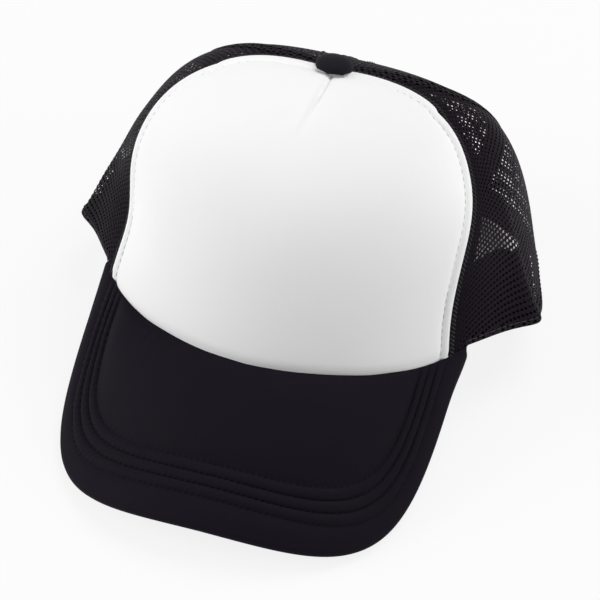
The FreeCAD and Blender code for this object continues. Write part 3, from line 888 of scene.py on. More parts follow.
def cloth_group():
    """Yarns over and under, fuzz and slow changes of shade, for every woven or knitted cloth."""
    found = bpy.data.node_groups.get("Cloth")
    if found:
        return found
    t, given, out = node_group(
        "Cloth",
        [("Colour", "NodeSocketColor", (0.5, 0.5, 0.5, 1.0)), ("Yarns", "NodeSocketFloat", 1500.0),
         ("Fuzz", "NodeSocketFloat", 0.3), ("Shade", "NodeSocketFloat", 0.1),
         ("Roughness", "NodeSocketFloat", 0.9)],
        [("Colour", "NodeSocketColor"), ("Roughness", "NodeSocketFloat"), ("Height", "NodeSocketFloat")])
    uv = t.add("ShaderNodeUVMap", uv_map="UVMap")
    split = t.add("ShaderNodeSeparateXYZ", {0: uv.outputs[0]})
    turned = t.math("MULTIPLY", given.outputs["Yarns"], math.pi)
    across = t.math("SINE", t.math("MULTIPLY", split.outputs[0], turned))
    along = t.math("SINE", t.math("MULTIPLY", split.outputs[1], turned))
    yarn = t.math("MULTIPLY", across, along)
    place = t.add("ShaderNodeTexCoord").outputs["Object"]
    fuzz = t.add("ShaderNodeTexNoise", {"Vector": place, "Scale": 2600.0, "Detail": 2.0})
    fuzz_part = t.math("MULTIPLY", fuzz.outputs[0], given.outputs["Fuzz"])
    height = t.math("ADD", t.math("MULTIPLY", yarn, 0.35), fuzz_part)
    slow = t.add("ShaderNodeTexNoise", {"Vector": place, "Scale": 38.0, "Detail": 3.0})
    swing = t.math("MULTIPLY_ADD", t.math("SUBTRACT", slow.outputs[0], 0.5), given.outputs["Shade"], 1.0)
    grain = t.math("MULTIPLY_ADD", t.math("SUBTRACT", fuzz.outputs[0], 0.5), given.outputs["Fuzz"], swing)
    mixed = t.add("ShaderNodeMix", data_type="RGBA", blend_type="MULTIPLY")
    mixed.inputs["Factor"].default_value = 1.0
    grey = t.add("ShaderNodeCombineColor", {0: grain, 1: grain, 2: grain})
    t.tree.links.new(given.outputs["Colour"], mixed.inputs["A"])
    t.tree.links.new(grey.outputs[0], mixed.inputs["B"])
    rough = t.math("MULTIPLY_ADD", t.math("SUBTRACT", slow.outputs[0], 0.5), 0.12, given.outputs["Roughness"])
    t.tree.links.new(mixed.outputs["Result"], out.inputs["Colour"])
    t.tree.links.new(rough, out.inputs["Roughness"])
    t.tree.links.new(height, out.inputs["Height"])
    return t.tree


def shader(name):
    material = bpy.data.materials.new(name)
    material.use_nodes = True
    t = Tree(material.node_tree)
    return material, t, material.node_tree.nodes["Principled BSDF"]


def cloth(name, shade, yarns=1500.0, fuzz=0.3, change=0.15, rough=0.9, bump=0.15, depth=0.0001,
          sheen=0.25, sheen_rough=0.5, specular=0.25):
    found = bpy.data.materials.get(name)
    if found:
        return found
    material, t, surface = shader(name)
    made = t.add("ShaderNodeGroup", node_tree=cloth_group())
    made.inputs["Colour"].default_value = (*shade, 1.0)
    made.inputs["Yarns"].default_value = yarns
    made.inputs["Fuzz"].default_value = fuzz
    made.inputs["Shade"].default_value = change
    made.inputs["Roughness"].default_value = rough
    raised = t.add("ShaderNodeBump", {"Height": made.outputs["Height"], "Strength": bump, "Distance": depth})
    t.tree.links.new(made.outputs["Colour"], surface.inputs["Base Color"])
    t.tree.links.new(made.outputs["Roughness"], surface.inputs["Roughness"])
    t.tree.links.new(raised.outputs[0], surface.inputs["Normal"])
    surface.inputs["Sheen Weight"].default_value = sheen
    surface.inputs["Sheen Roughness"].default_value = sheen_rough
    surface.inputs["Specular IOR Level"].default_value = specular
    return material


def solid(name, shade, rough, metallic=0.0, grain=1800.0, bump=0.1, specular=0.5):
    """Plastic, metal and thread: a fine grain and slow changes of gloss."""
    found = bpy.data.materials.get(name)
    if found:
        return found
    material, t, surface = shader(name)
    place = t.add("ShaderNodeTexCoord").outputs["Object"]
    fine = t.add("ShaderNodeTexNoise", {"Vector": place, "Scale": grain, "Detail": 2.0})
    slow = t.add("ShaderNodeTexNoise", {"Vector": place, "Scale": 90.0, "Detail": 3.0})
    spread = {"Value": slow.outputs[0], "To Min": rough - 0.06, "To Max": rough + 0.08}
    ramp = t.add("ShaderNodeMapRange", spread)
    tint = t.add("ShaderNodeMapRange", {"Value": slow.outputs[0], "To Min": 0.85, "To Max": 1.15})
    mixed = t.add("ShaderNodeMix", data_type="RGBA", blend_type="MULTIPLY")
    mixed.inputs["Factor"].default_value = 1.0
    mixed.inputs["A"].default_value = (*shade, 1.0)
    grey = t.add("ShaderNodeCombineColor", {0: tint.outputs[0], 1: tint.outputs[0], 2: tint.outputs[0]})
    t.tree.links.new(grey.outputs[0], mixed.inputs["B"])
    raised = t.add("ShaderNodeBump", {"Height": fine.outputs[0], "Strength": bump, "Distance": 0.0001})
    t.tree.links.new(mixed.outputs["Result"], surface.inputs["Base Color"])
    t.tree.links.new(ramp.outputs[0], surface.inputs["Roughness"])
    t.tree.links.new(raised.outputs[0], surface.inputs["Normal"])
    surface.inputs["Metallic"].default_value = metallic
    surface.inputs["Specular IOR Level"].default_value = specular
    return material


def white_knit():
    return cloth("White_knit", sizes("colour").foam, yarns=1700.0, fuzz=0.05, change=0.02, rough=0.85,
                 bump=0.10, depth=0.00008, sheen=0.05)


def net_nylon():
    return cloth("Net_nylon", sizes("colour").net, yarns=3000.0, fuzz=0.35, change=0.25, rough=0.55,
                 bump=0.25, sheen=0.01, specular=0.07)


def holes_group():
    """Where the holes of a folded net are: rows of holes, each row half a pitch along."""
    found = bpy.data.node_groups.get("Holes")
    if found:
        return found
    t, given, out = node_group(
        "Holes", [("Pitch", "NodeSocketFloat", 0.0022), ("Row", "NodeSocketFloat", 0.0028)],
        [("Hole", "NodeSocketFloat")])
    split = t.add("ShaderNodeSeparateXYZ", {0: t.add("ShaderNodeUVMap", uv_map="UVMap").outputs[0]})
    row = t.math("DIVIDE", split.outputs[1], given.outputs["Row"])
    odd = t.math("MULTIPLY", t.math("MODULO", t.math("FLOOR", row), 2.0), 0.5)
    column = t.math("ADD", t.math("DIVIDE", split.outputs[0], given.outputs["Pitch"]), odd)
    across = t.math("DIVIDE", t.math("SUBTRACT", t.math("FRACT", column), 0.5), 0.34)
    upward = t.math("DIVIDE", t.math("SUBTRACT", t.math("FRACT", row), 0.5), 0.36)
    spread = t.math("SQRT", t.math("ADD", t.math("POWER", across, 2.0), t.math("POWER", upward, 2.0)))
    hole = t.add("ShaderNodeMapRange", {"Value": spread, "From Min": 0.75, "From Max": 1.1,
                                        "To Min": 1.0, "To Max": 0.0}, interpolation_type="SMOOTHSTEP")
    t.tree.links.new(hole.outputs[0], out.inputs["Hole"])
    return t.tree


def folded_net():
    """Net folded over itself, so that its holes only show as hollows; each hole is painted darker in the
    colour, as painted shade in the hollow.
    """
    found = bpy.data.materials.get("Folded_net")
    if found:
        return found
    net = sizes("net")
    material, t, surface = shader("Folded_net")
    made = t.add("ShaderNodeGroup", node_tree=holes_group())
    made.inputs["Pitch"].default_value = net.pitch
    made.inputs["Row"].default_value = net.row
    hole = made.outputs["Hole"]
    fine = t.add("ShaderNodeTexNoise", {"Vector": t.add("ShaderNodeTexCoord").outputs["Object"],
                                        "Scale": 2600.0, "Detail": 2.0})
    # Painted shade: the colour is darkened by nine tenths inside each hole, on top of the yarn's fine grain.
    grain_and_hollow_shade = t.math("MULTIPLY", t.math("MULTIPLY_ADD", fine.outputs[0], 0.8, 0.6),
                    t.math("MULTIPLY_ADD", hole, -0.9, 1.0))
    mixed = t.add("ShaderNodeMix", data_type="RGBA", blend_type="MULTIPLY")
    mixed.inputs["Factor"].default_value = 1.0
    mixed.inputs["A"].default_value = (*sizes("colour").net, 1.0)
    grey = t.add("ShaderNodeCombineColor", {0: grain_and_hollow_shade, 1: grain_and_hollow_shade, 2: grain_and_hollow_shade})
    t.tree.links.new(grey.outputs[0], mixed.inputs["B"])
    height = t.math("MULTIPLY_ADD", hole, -1.0, t.math("MULTIPLY", fine.outputs[0], 0.15))
    raised = t.add("ShaderNodeBump", {"Height": height, "Strength": 0.8, "Distance": 0.0004})
    t.tree.links.new(mixed.outputs["Result"], surface.inputs["Base Color"])
    t.tree.links.new(raised.outputs[0], surface.inputs["Normal"])
    t.tree.links.new(t.math("MULTIPLY_ADD", hole, -0.13, 0.14), surface.inputs["Specular IOR Level"])
    surface.inputs["Roughness"].default_value = 0.6
    return material


def visor_cloth():
    return cloth("Visor_cloth", sizes("colour").visor, yarns=2200.0, fuzz=0.35, change=0.16, rough=0.75,
                 bump=0.2, sheen=0.03, sheen_rough=0.45, specular=0.08)


def band_cloth():
    return cloth("Band_cloth", sizes("colour").band, yarns=1600.0, fuzz=0.3, change=0.2, rough=0.88,
                 bump=0.3, sheen=0.03, specular=0.12)


def button_cloth():
    return cloth("Button_cloth", sizes("colour").button, yarns=1900.0, fuzz=0.3, change=0.15, rough=0.85,
                 bump=0.2, sheen=0.05, specular=0.1)


def white_thread():
    return solid("White_thread", sizes("colour").white_thread, 0.7, grain=4000.0, specular=0.3)


def black_thread():
    return solid("Black_thread", sizes("colour").black_thread, 0.55, grain=4000.0, specular=0.4)


def visor_thread():
    return solid("Visor_thread", sizes("colour").visor, 0.8, grain=4000.0, specular=0.1)


# Paths on the crown


def crown_path(crown, spots, lift):
    """Points and normals on the crown at (angle, height) pairs, a little off its surface."""
    path = []
    for phi, h in spots:
        normal = crown.normal(phi, h)
        path.append((crown.point(phi, h) + normal * lift, normal))
    return path


def rising(crown, seam, start, top_radius, count):
    """(angle, height) pairs up a seam, evenly spread, from a start height to near the button."""
    top = crown.height_at(seam(0.98), top_radius)
    spots = []
    for k in range(count):
        v = k / (count - 1.0)
        reach = 1.0 - math.sqrt(1.0 - top)
        h = 1.0 - (1.0 - reach * v) ** 2
        h = start + (h - 0.0) * (top - start) / top
        spots.append((seam(h), h))
    return spots


def beside(crown, seam, offset):
    """A seam moved sideways along the crown by a length."""
    def moved(h):
        return seam(h) + offset / max(0.004, crown.radius(seam(h), h))
    return moved


class SeamDistance:
    """How far a point of the crown lies from a seam."""

    def __init__(self, crown, seam, count=500):
        heights = [1.0 - (1.0 - k / (count - 1.0)) ** 2 for k in range(count)]
        self.spots = [crown.point(seam(h), h) for h in heights]
        self.tree = kdtree.KDTree(count)
        for k, spot in enumerate(self.spots):
            self.tree.insert(spot, k)
        self.tree.balance()

    def __call__(self, point):
        _, k, away = self.tree.find(point)
        for a, b in zip(self.spots[max(k - 1, 0):k + 1], self.spots[max(k, 1):k + 2]):
            on, f = geometry.intersect_point_line(point, a, b)
            if 0.0 < f < 1.0:
                away = min(away, (point - on).length)
        return away


# Pieces


def front_half_width(crown, h):
    return crown.arc(crown.front_seam(h), h)


def column_share(i, count):
    """Shares of the half width, dense at the seam and at the centre."""
    t = abs(2.0 * i / (count - 1.0) - 1.0)
    share = t + 0.10 * math.sin(2.0 * math.pi * t) * (0.6 - t) + 0.045 * math.sin(math.pi * t)
    return math.copysign(min(1.0, share), i - 0.5 * (count - 1.0))


def foam_rise(s, distance):
    """Height of the foam's cloth at a distance from the seam: lip, stitched furrow, full foam."""
    if distance < s.lip:
        f = distance / s.lip
        lip = math.sin(math.pi * min(1.0, 0.08 + 0.92 * f)) ** 0.55 * s.lip_rise
        return -s.seam_sink * (1.0 - ease(f * 5.0)) + lip * ease(f * 6.0)
    return s.proud * (1.0 - math.exp(-(distance - s.lip) / s.plump))


def dart_sink(s, x, below):
    """Depth of the dart's furrow: x sideways, below the button."""
    if below > s.dart_length:
        return 0.0
    fade = ease((s.dart_length - below) / (0.75 * s.dart_length))
    furrow = math.exp(-(x / s.dart_width) ** 2)
    shoulder = 0.35 * math.tanh(x / (0.7 * s.dart_width)) * math.exp(-(x / (4.0 * s.dart_width)) ** 2)
    return s.dart_depth * fade * (furrow + shoulder)


# The foam front is turned in under the visor, sunk towards its hem, a little uneven,
# and darted below the button.
FOAM_TUCK = 0.0045
FOAM_HEM_SINK = 0.0008
FOAM_UNEVEN = 0.00035
DART_START = 0.004


class CAP_OT_front_panel(bpy.types.Operator):
    """Makes the white foam front with its turned lip, its topstitch and its dart"""
    bl_idname = "cap.front_panel"
    bl_label = "Foam front"

    ACROSS = 211
    UPWARD = 110

    def execute(self, context):
        crown = Visor().crown
        s = sizes("foam")
        distance = SeamDistance(crown, crown.front_seam)
        tuck = -FOAM_TUCK / crown.s.height
        top = crown.height_at(0.0, 0.003)

        def place(i, j):
            v = j / (self.UPWARD - 1.0)
            reach = 1.0 - math.sqrt(1.0 - top)
            h = 1.0 - (1.0 - reach * v) ** 2 + tuck * (1.0 - v) ** 6
            share = column_share(i, self.ACROSS)
            phi = crown.angle_at(abs(share) * front_half_width(crown, max(0.0, h)), max(0.0, h))
            spot = crown.point(phi, h)
            off = foam_rise(s, distance(spot))
            off -= FOAM_HEM_SINK * (1.0 - ease((h + 0.004) * 26.0))
            x = math.copysign(spot.x, share)
            below = math.hypot(spot.y - crown.s.setback, spot.z - crown.s.height) - DART_START
            off -= dart_sink(s, x, max(0.0, below))
            off += FOAM_UNEVEN * noise.noise(Vector((x * 28.0, spot.y * 28.0, spot.z * 28.0)))
            moved = spot + crown.normal(phi, max(h, 0.001)) * off
            moved.x = math.copysign(moved.x, share) if share else 0.0
            return moved

        panel = lattice("front_panel", self.ACROSS, self.UPWARD, place)
        face_out(panel)
        thicken(panel, s.thickness)
        smooth(panel, 60.0)
        dress(panel, white_knit(), "foam_front", "front_panel")
        self.topstitch(crown, s, distance)
        return {"FINISHED"}

    def topstitch(self, crown, s, distance):
        paths = []
        for side in (1.0, -1.0):
            path = []
            for k in range(160):
                h = 0.012 + 0.955 * (1.0 - (1.0 - k / 159.0) ** 1.6)
                low, high = 0.0, crown.front_seam(h)
                for _ in range(24):
                    phi = 0.5 * (low + high)
                    if distance(crown.point(phi, h)) > s.lip:
                        low = phi
                    else:
                        high = phi
                path.append(side_point(crown, phi, h, 0.0002, side))
            paths.append(path)
        sew("front_topstitch", paths, white_thread(), "white_thread", scale=0.8)


def side_point(crown, phi, h, lift, side):
    normal = crown.normal(phi, h)
    point = crown.point(phi, h) + normal * lift
    return Vector((side * point.x, point.y, point.z)), Vector((side * normal.x, normal.y, normal.z))


def flat_net(name, s, width, height):
    """A flat net: one cell is modelled and then set in rows, each row half a pitch along."""
    clear_selection()
    bpy.ops.mesh.primitive_circle_add(vertices=8, radius=0.5, fill_type="NGON")
    cell = named(name)
    bpy.ops.object.mode_set(mode="EDIT")
    bpy.ops.mesh.select_all(action="SELECT")
    bpy.ops.mesh.inset(thickness=0.1)
    bpy.ops.mesh.delete(type="ONLY_FACE")
    bpy.ops.object.mode_set(mode="OBJECT")
    for vertex in cell.data.vertices:
        out = vertex.co.xy.normalized()
        if vertex.co.length > 0.45:
            corner = max(abs(out.x), abs(out.y))
            vertex.co = (0.5 * s.pitch * out.x / corner, 0.5 * s.row * out.y / corner, 0.0)
        else:
            vertex.co = (0.5 * s.pitch * s.hole * out.x, 0.5 * s.row * s.hole_height * out.y, 0.0)
    across = math.ceil(width / s.pitch) + 1
    upward = math.ceil(height / (2.0 * s.row)) + 1
    steps = ((across, (s.pitch, 0.0, 0.0)), (2, (0.5 * s.pitch, s.row, 0.0)),
             (upward, (0.0, 2.0 * s.row, 0.0)))
    for count, offset in steps:
        modifier(cell, "ARRAY", count=count, use_relative_offset=False, use_constant_offset=True,
                 constant_offset_displace=offset, use_merge_vertices=True, merge_threshold=0.00004)
    activate(cell)
    bpy.ops.object.mode_set(mode="EDIT")
    bpy.ops.mesh.select_all(action="SELECT")
    bpy.ops.mesh.remove_doubles(threshold=0.00004)
    bpy.ops.object.mode_set(mode="OBJECT")
    return cell


def wrap_net(piece, s, locate, keep, surface):
    """Lays a flat net on the crown: locate gives (angle, height), keep says what stays."""
    bm = bmesh.new()
    bm.from_mesh(piece.data)
    layer = bm.loops.layers.uv.new("UVMap")
    gone = []
    for vertex in bm.verts:
        for loop in vertex.link_loops:
            loop[layer].uv = vertex.co.xy
        wave = 2.0 * math.pi * (vertex.co.y / s.row - 0.5)
        along = vertex.co.y + s.rib_share * s.row * math.sin(wave)
        spot = locate(vertex.co.x, along)
        if spot is None or not keep(*spot):
            gone.append(vertex)
            continue
        fade = 1.0 - 0.85 * ease((spot[1] - 0.2) / 0.3)
        vertex.co = seat(surface(*spot, s.rib * fade * (0.5 + 0.5 * math.cos(wave))))
    bmesh.ops.delete(bm, geom=gone, context="VERTS")
    loose = [v for v in bm.verts if not v.link_faces]
    bmesh.ops.delete(bm, geom=loose, context="VERTS")
    bm.to_mesh(piece.data)
    bm.free()
    face_out(piece)


# Spare net round a panel before it is trimmed to the seams.
NET_MARGIN = 0.008
NET_TOP_MARGIN = 0.010
NET_ROWS_UNDER_RIM = 4.0


class CAP_OT_net_panels(bpy.types.Operator):
    """Makes the four panels of open net, cell by cell"""
    bl_idname = "cap.net_panels"
    bl_label = "Net panels"

    def execute(self, context):
        crown = Visor().crown
        s = sizes("net")
        self.side(crown, s)
        self.rear(crown, s)
        return {"FINISHED"}

    def locator(self, crown, s, reference, start, dip):
        """Angle and height of a point of the flat net. Rows run down towards the front seam."""
        climbed, heights = crown.ladder(reference)

        def height_of(length):
            i = min(max(bisect.bisect_right(climbed, length) - 1, 0), len(climbed) - 2)
            f = (length - climbed[i]) / (climbed[i + 1] - climbed[i])
            return heights[i] + (heights[i + 1] - heights[i]) * f

        def locate(a, b):
            h = height_of(b)
            arc = crown.arc(reference, max(h, 0.0)) + a
            for _ in range(8 if dip else 0):
                beyond = arc - crown.arc(start(h), max(h, 0.0))
                fall = s.dip * math.exp(-max(0.0, beyond) / s.dip_reach)
                h = 0.4 * h + 0.6 * min(0.998, height_of(b - fall))
                arc = crown.arc(reference, max(h, 0.0)) + a
            if arc < 0.0 or h < -0.06 or h > 0.995:
                return None
            return crown.angle_at(arc, max(h, 0.0)), h

        return locate

    def surface(self, crown):
        def lifted(phi, h, rib):
            spot = crown.point(phi, h)
            wave = noise.noise(spot * 30.0) * 0.0005 * (1.0 - max(0.0, h))
            return spot + crown.normal(phi, max(h, 0.001)) * (wave + rib - 0.0002)
        return lifted

    def panel(self, crown, s, name, reference, start, end, keep, dip):
        levels = (0.0, 0.15, 0.3, 0.45, 0.6, 0.8)
        reach = max(crown.arc(end(h), h) - crown.arc(reference, h) for h in levels)
        back = max(crown.arc(reference, h) - crown.arc(start(h), h) for h in levels)
        climbed = crown.ladder(reference)[0]
        fall = s.dip if dip else 0.0
        net = flat_net(name, s, reach + back + 2.0 * NET_MARGIN, climbed[-1] + fall + NET_TOP_MARGIN)
        for vertex in net.data.vertices:
            vertex.co.x -= round((back + NET_MARGIN) / s.pitch) * s.pitch
            vertex.co.y -= NET_ROWS_UNDER_RIM * s.row
        wrap_net(net, s, self.locator(crown, s, reference, start, dip), keep, self.surface(crown))
        thicken(net, s.thickness)
        smooth(net, 75.0)
        material = net_nylon()
        dress(net, material, "mesh", name)
        other = mirrored(net, name.replace("left", "right"))
        dress(other, material, "mesh", name.replace("left", "right"))

    def side(self, crown, s):
        end_angle = crown.visor.end_angle

        def keep(phi, h):
            up = max(0.0, h)
            here = crown.arc(phi, up)
            low, high = crown.arc(crown.front_seam(h), up), crown.arc(crown.rear_seam(h), up)
            rim = -0.03 if phi < end_angle + 0.02 else 0.004
            return low - s.tuck < here < high - 0.0004 and h > rim and crown.radius(phi, up) > 0.005

        self.panel(crown, s, "side_mesh_left", math.radians(104.0), crown.front_seam, crown.rear_seam,
                   keep, True)

    def rear(self, crown, s):
        arch = sizes("rear")

        def keep(phi, h):
            up = max(0.0, h)
            here = crown.arc(phi, up)
            if not crown.arc(crown.rear_seam(h), up) + 0.0004 < here < crown.arc(HALF_TURN, up) - 0.0003:
                return False
            spot = crown.point(phi, h)
            half = arch.half_width + 0.0012
            rise = arch.height - arch.spring + 0.0012
            inside = abs(spot.x) < half and (
                spot.z < arch.spring
                or ((spot.x / half) ** 2 + ((spot.z - arch.spring) / rise) ** 2) < 1.0)
            return not inside and h > 0.004 and crown.radius(phi, up) > 0.005

        self.panel(crown, s, "rear_mesh_left", math.radians(168.0), crown.rear_seam, lambda h: HALF_TURN,
                   keep, False)


class CAP_OT_seams(bpy.types.Operator):
    """Makes the sewn bands, ridges, inner tapes and hem that join the panels"""
    bl_idname = "cap.seams"
    bl_label = "Seams and hem"

    def execute(self, context):
        crown = Visor().crown
        s = sizes("net")
        rear = sizes("rear")
        self.front_band(crown, s)
        self.ridges(crown, s)
        self.tapes(crown, rear)
        self.hem(crown, s, rear)
        self.root_strip(crown)
        self.foam_binding(crown)
        return {"FINISHED"}

    def pair(self, piece, right_name, material, slot, left_node=None, right_node=None):
        other = mirrored(piece, right_name)
        dress(piece, material, slot, *([left_node] if left_node else []))
        dress(other, material, slot, *([right_node] if right_node else []))

    def front_band(self, crown, s):
        band = beside(crown, crown.front_seam, 0.5 * s.seam_band + 0.0001)
        spots = rising(crown, band, -0.02, 0.0065, 90)
        path = crown_path(crown, spots, 0.0)
        piece = strip("front_seam_band_left", path, stadium(0.5 * s.seam_band, -0.0009, 0.0004), closed=True)
        smooth(piece)
        self.pair(piece, "front_seam_band_right", band_cloth(), "tape")
        rows = []
        for side in (1.0, -1.0):
            row = [side_point(crown, phi, h, 0.00052, side) for phi, h in spots]
            rows.append(row)
        sew("front_seam_overlock", rows, black_thread(), "black_thread", slant=math.radians(52.0),
            step=0.0019, scale=1.15)

    def ridges(self, crown, s):
        for name, seam, top in (("rear_seam_ridge", crown.rear_seam, 0.0065),
                                ("back_seam_ridge", lambda h: HALF_TURN, 0.0065)):
            start = 0.006 if seam == crown.rear_seam else self.arch_top(crown)
            spots = rising(crown, seam, start, top, 80)
            path = crown_path(crown, spots, 0.0)
            profile = self.ridge_profile(s.ridge)
            if seam == crown.rear_seam:
                piece = strip(name + "_left", path, profile, closed=True)
                smooth(piece)
                self.pair(piece, name + "_right", folded_net(), "mesh")
            else:
                piece = strip(name, path, profile, closed=True)
                smooth(piece)
                dress(piece, folded_net(), "mesh")
            rows = []
            for offset in (-0.0028, 0.0028):
                line = rising(crown, beside(crown, seam, offset), start, top + 0.002, 80)
                for side in (1.0, -1.0):
                    if seam == crown.rear_seam or side > 0.0:
                        rows.append([side_point(crown, phi, h, 0.0001, side) for phi, h in line])
            sew(name + "_stitches", rows, black_thread(), "black_thread", scale=0.75)

    def ridge_profile(self, half):
        """Two turned edges side by side, with the seam's furrow between them."""
        top = []
        count = 14
        for k in range(count + 1):
            t = 2.0 * k / count - 1.0
            swell = math.sqrt(max(0.0, 1.0 - t * t)) ** 0.5
            furrow = math.exp(-(t / 0.13) ** 2)
            stitched = math.exp(-((abs(t) - 0.66) / 0.12) ** 2)
            top.append((half * t, 0.00085 * swell - 0.0006 * furrow - 0.00025 * stitched - 0.0003))
        low = [(half * 0.98, -0.0009), (-half * 0.98, -0.0009)]
        return top + low

    def arch_top(self, crown):
        rear = sizes("rear")
        return (rear.height + 0.4 * rear.binding) / crown.s.height

    def tapes(self, crown, rear):
        under = -0.00135
        for name, seam, radius, nodes in (
                ("front_seam_tape", beside(crown, crown.front_seam, 0.0046), 0.012, True),
                ("side_seam_tape", crown.rear_seam, 0.014, True),
                ("back_seam_tape", lambda h: HALF_TURN, 0.012, False)):
            start = 0.03 if nodes else self.arch_top(crown)
            half = 0.5 * rear.tape if name != "front_seam_tape" else 0.0045
            spots = rising(crown, seam, start, radius, 70)
            path = crown_path(crown, spots, 0.0)
            piece = strip(name + "_left" if nodes else name, path,
                          stadium(half, under - 0.0007, under, 3), closed=True)
            smooth(piece)
            if nodes:
                self.pair(piece, name + "_right", band_cloth(), "tape", name + "_left", name + "_right")
            else:
                dress(piece, band_cloth(), "tape", name)
            rows = []
            for offset in (-0.7 * half, 0.7 * half):
                line = rising(crown, beside(crown, seam, offset), start, radius + 0.002, 70)
                for side in (1.0, -1.0):
                    if nodes or side > 0.0:
                        row = [side_point(crown, phi, h, under - 0.00075, side) for phi, h in line]
                        rows.append([(p, -n) for p, n in row])
            sew(name + "_stitches", rows, black_thread(), "black_thread")

    def root_strip(self, crown):
        """The crown's turned edge inside the visor's seam, beside the foam panel."""
        low = crown.arc(crown.s.front_seam_rim, 0.0) - 0.004
        high = crown.arc(crown.visor.end_angle, 0.0) + 0.0020
        path = []
        for k in range(20):
            phi = crown.angle_at(low + (high - low) * k / 19.0, 0.0)
            path.append(crown_path(crown, [(phi, -0.006)], 0.0)[0])
        piece = strip("visor_root_strip_left", path, stadium(0.0030, -0.0016, -0.0007, 3), closed=True)
        smooth(piece)
        self.pair(piece, "visor_root_strip_right", band_cloth(), "tape")

    def foam_binding(self, crown):
        """The tape that wraps the foam's lower edge inside the visor's seam."""
        span = crown.arc(crown.s.front_seam_rim, 0.0) + 0.002
        path = []
        for k in range(161):
            arc = span * (k / 80.0 - 1.0)
            angle = crown.angle_at(abs(arc), 0.0)
            path.append(side_point(crown, angle, 0.0005, 0.0, math.copysign(1.0, arc)))
        profile = ((0.0003, -0.0028), (0.0003, -0.0046), (0.0008, -0.0050), (0.0056, -0.0050),
                   (0.0063, -0.0043), (0.0063, 0.0001), (0.0058, 0.0005), (0.0049, 0.0003),
                   (0.0049, -0.0027))
        piece = strip("foam_edge_binding", path, profile, closed=True)
        smooth(piece, 30.0)
        dress(piece, band_cloth(), "tape")
        row = []
        for k, (point, normal) in enumerate(path):
            across = (path[min(k + 1, 160)][0] - path[max(k - 1, 0)][0]).cross(normal).normalized()
            row.append((point + across * 0.0040 - normal * 0.0051, -normal))
        sew("foam_edge_stitches", [row], black_thread(), "black_thread")

    def hem(self, crown, s, rear):
        """The turned hem along the rim, from the visor's tip to the rear opening."""
        visor = crown.visor
        end, _ = crown.rear_angle_height(rear.half_width + 0.5 * rear.binding, 0.0)
        first, last = crown.arc(visor.end_angle, 0.0) + 0.0005, crown.arc(end, 0.0)
        count = 150
        path, line = [], []
        for k in range(count):
            arc = first + (last - first) * k / (count - 1.0)
            phi = crown.angle_at(arc, 0.0)
            h = 0.5 * s.hem / crown.s.height
            path.append(crown_path(crown, [(phi, h)], 0.0)[0])
            line.append((phi, 0.72 * s.hem / crown.s.height))
        profile = stadium(0.5 * s.hem + 0.0006, -0.0022, 0.00045, 6)
        piece = strip("rim_hem_left", path, profile, closed=True)
        smooth(piece)
        self.pair(piece, "rim_hem_right", folded_net(), "mesh")
        rows = [[side_point(crown, phi, h, 0.0005, side) for phi, h in line] for side in (1.0, -1.0)]
        sew("rim_hem_stitches", rows, black_thread(), "black_thread")


class CAP_OT_rear_opening(bpy.types.Operator):
    """Makes the folded binding round the half-moon opening at the back"""
    bl_idname = "cap.rear_opening"
    bl_label = "Rear opening"

    def execute(self, context):
        crown = Visor().crown
        s = sizes("rear")
        path = self.arch(crown, s, 0.5 * s.binding - 0.0005)
        outer, inner = 0.00075, -0.0019
        profile = stadium(0.5 * s.binding + 0.0005, inner, outer, 6)
        piece = strip("rear_opening_binding", path, profile, closed=True)
        smooth(piece)
        dress(piece, band_cloth(), "tape", "rear_opening_binding")
        rows = [[(p + n * 0.0008, n) for p, n in self.arch(crown, s, offset)]
                for offset in (0.0014, s.binding - 0.0014)]
        sew("rear_opening_stitches", rows, black_thread(), "black_thread")
        return {"FINISHED"}

    def arch(self, crown, s, grow):
        """Points and normals along the arch, a little outside the opening's edge."""
        half = s.half_width + grow
        rise = s.height - s.spring + grow
        spots = []
        foot = crown.rim_level(crown.rear_angle_height(half, 0.0)[0]) + 0.0006
        for k in range(7):
            spots.append((half, foot + (s.spring - foot) * k / 7.0))
        for k in range(61):
            a = math.pi * k / 60.0
            spots.append((half * math.cos(a), s.spring + rise * math.sin(a)))
        for k in range(7):
            spots.append((-half, s.spring + (foot - s.spring) * (k + 1) / 7.0))
        path = []
        for x, z in spots:
            phi, h = crown.rear_angle_height(x, z)
            path.append((crown.point(phi, h), crown.normal(phi, max(h, 0.002))))
        return path


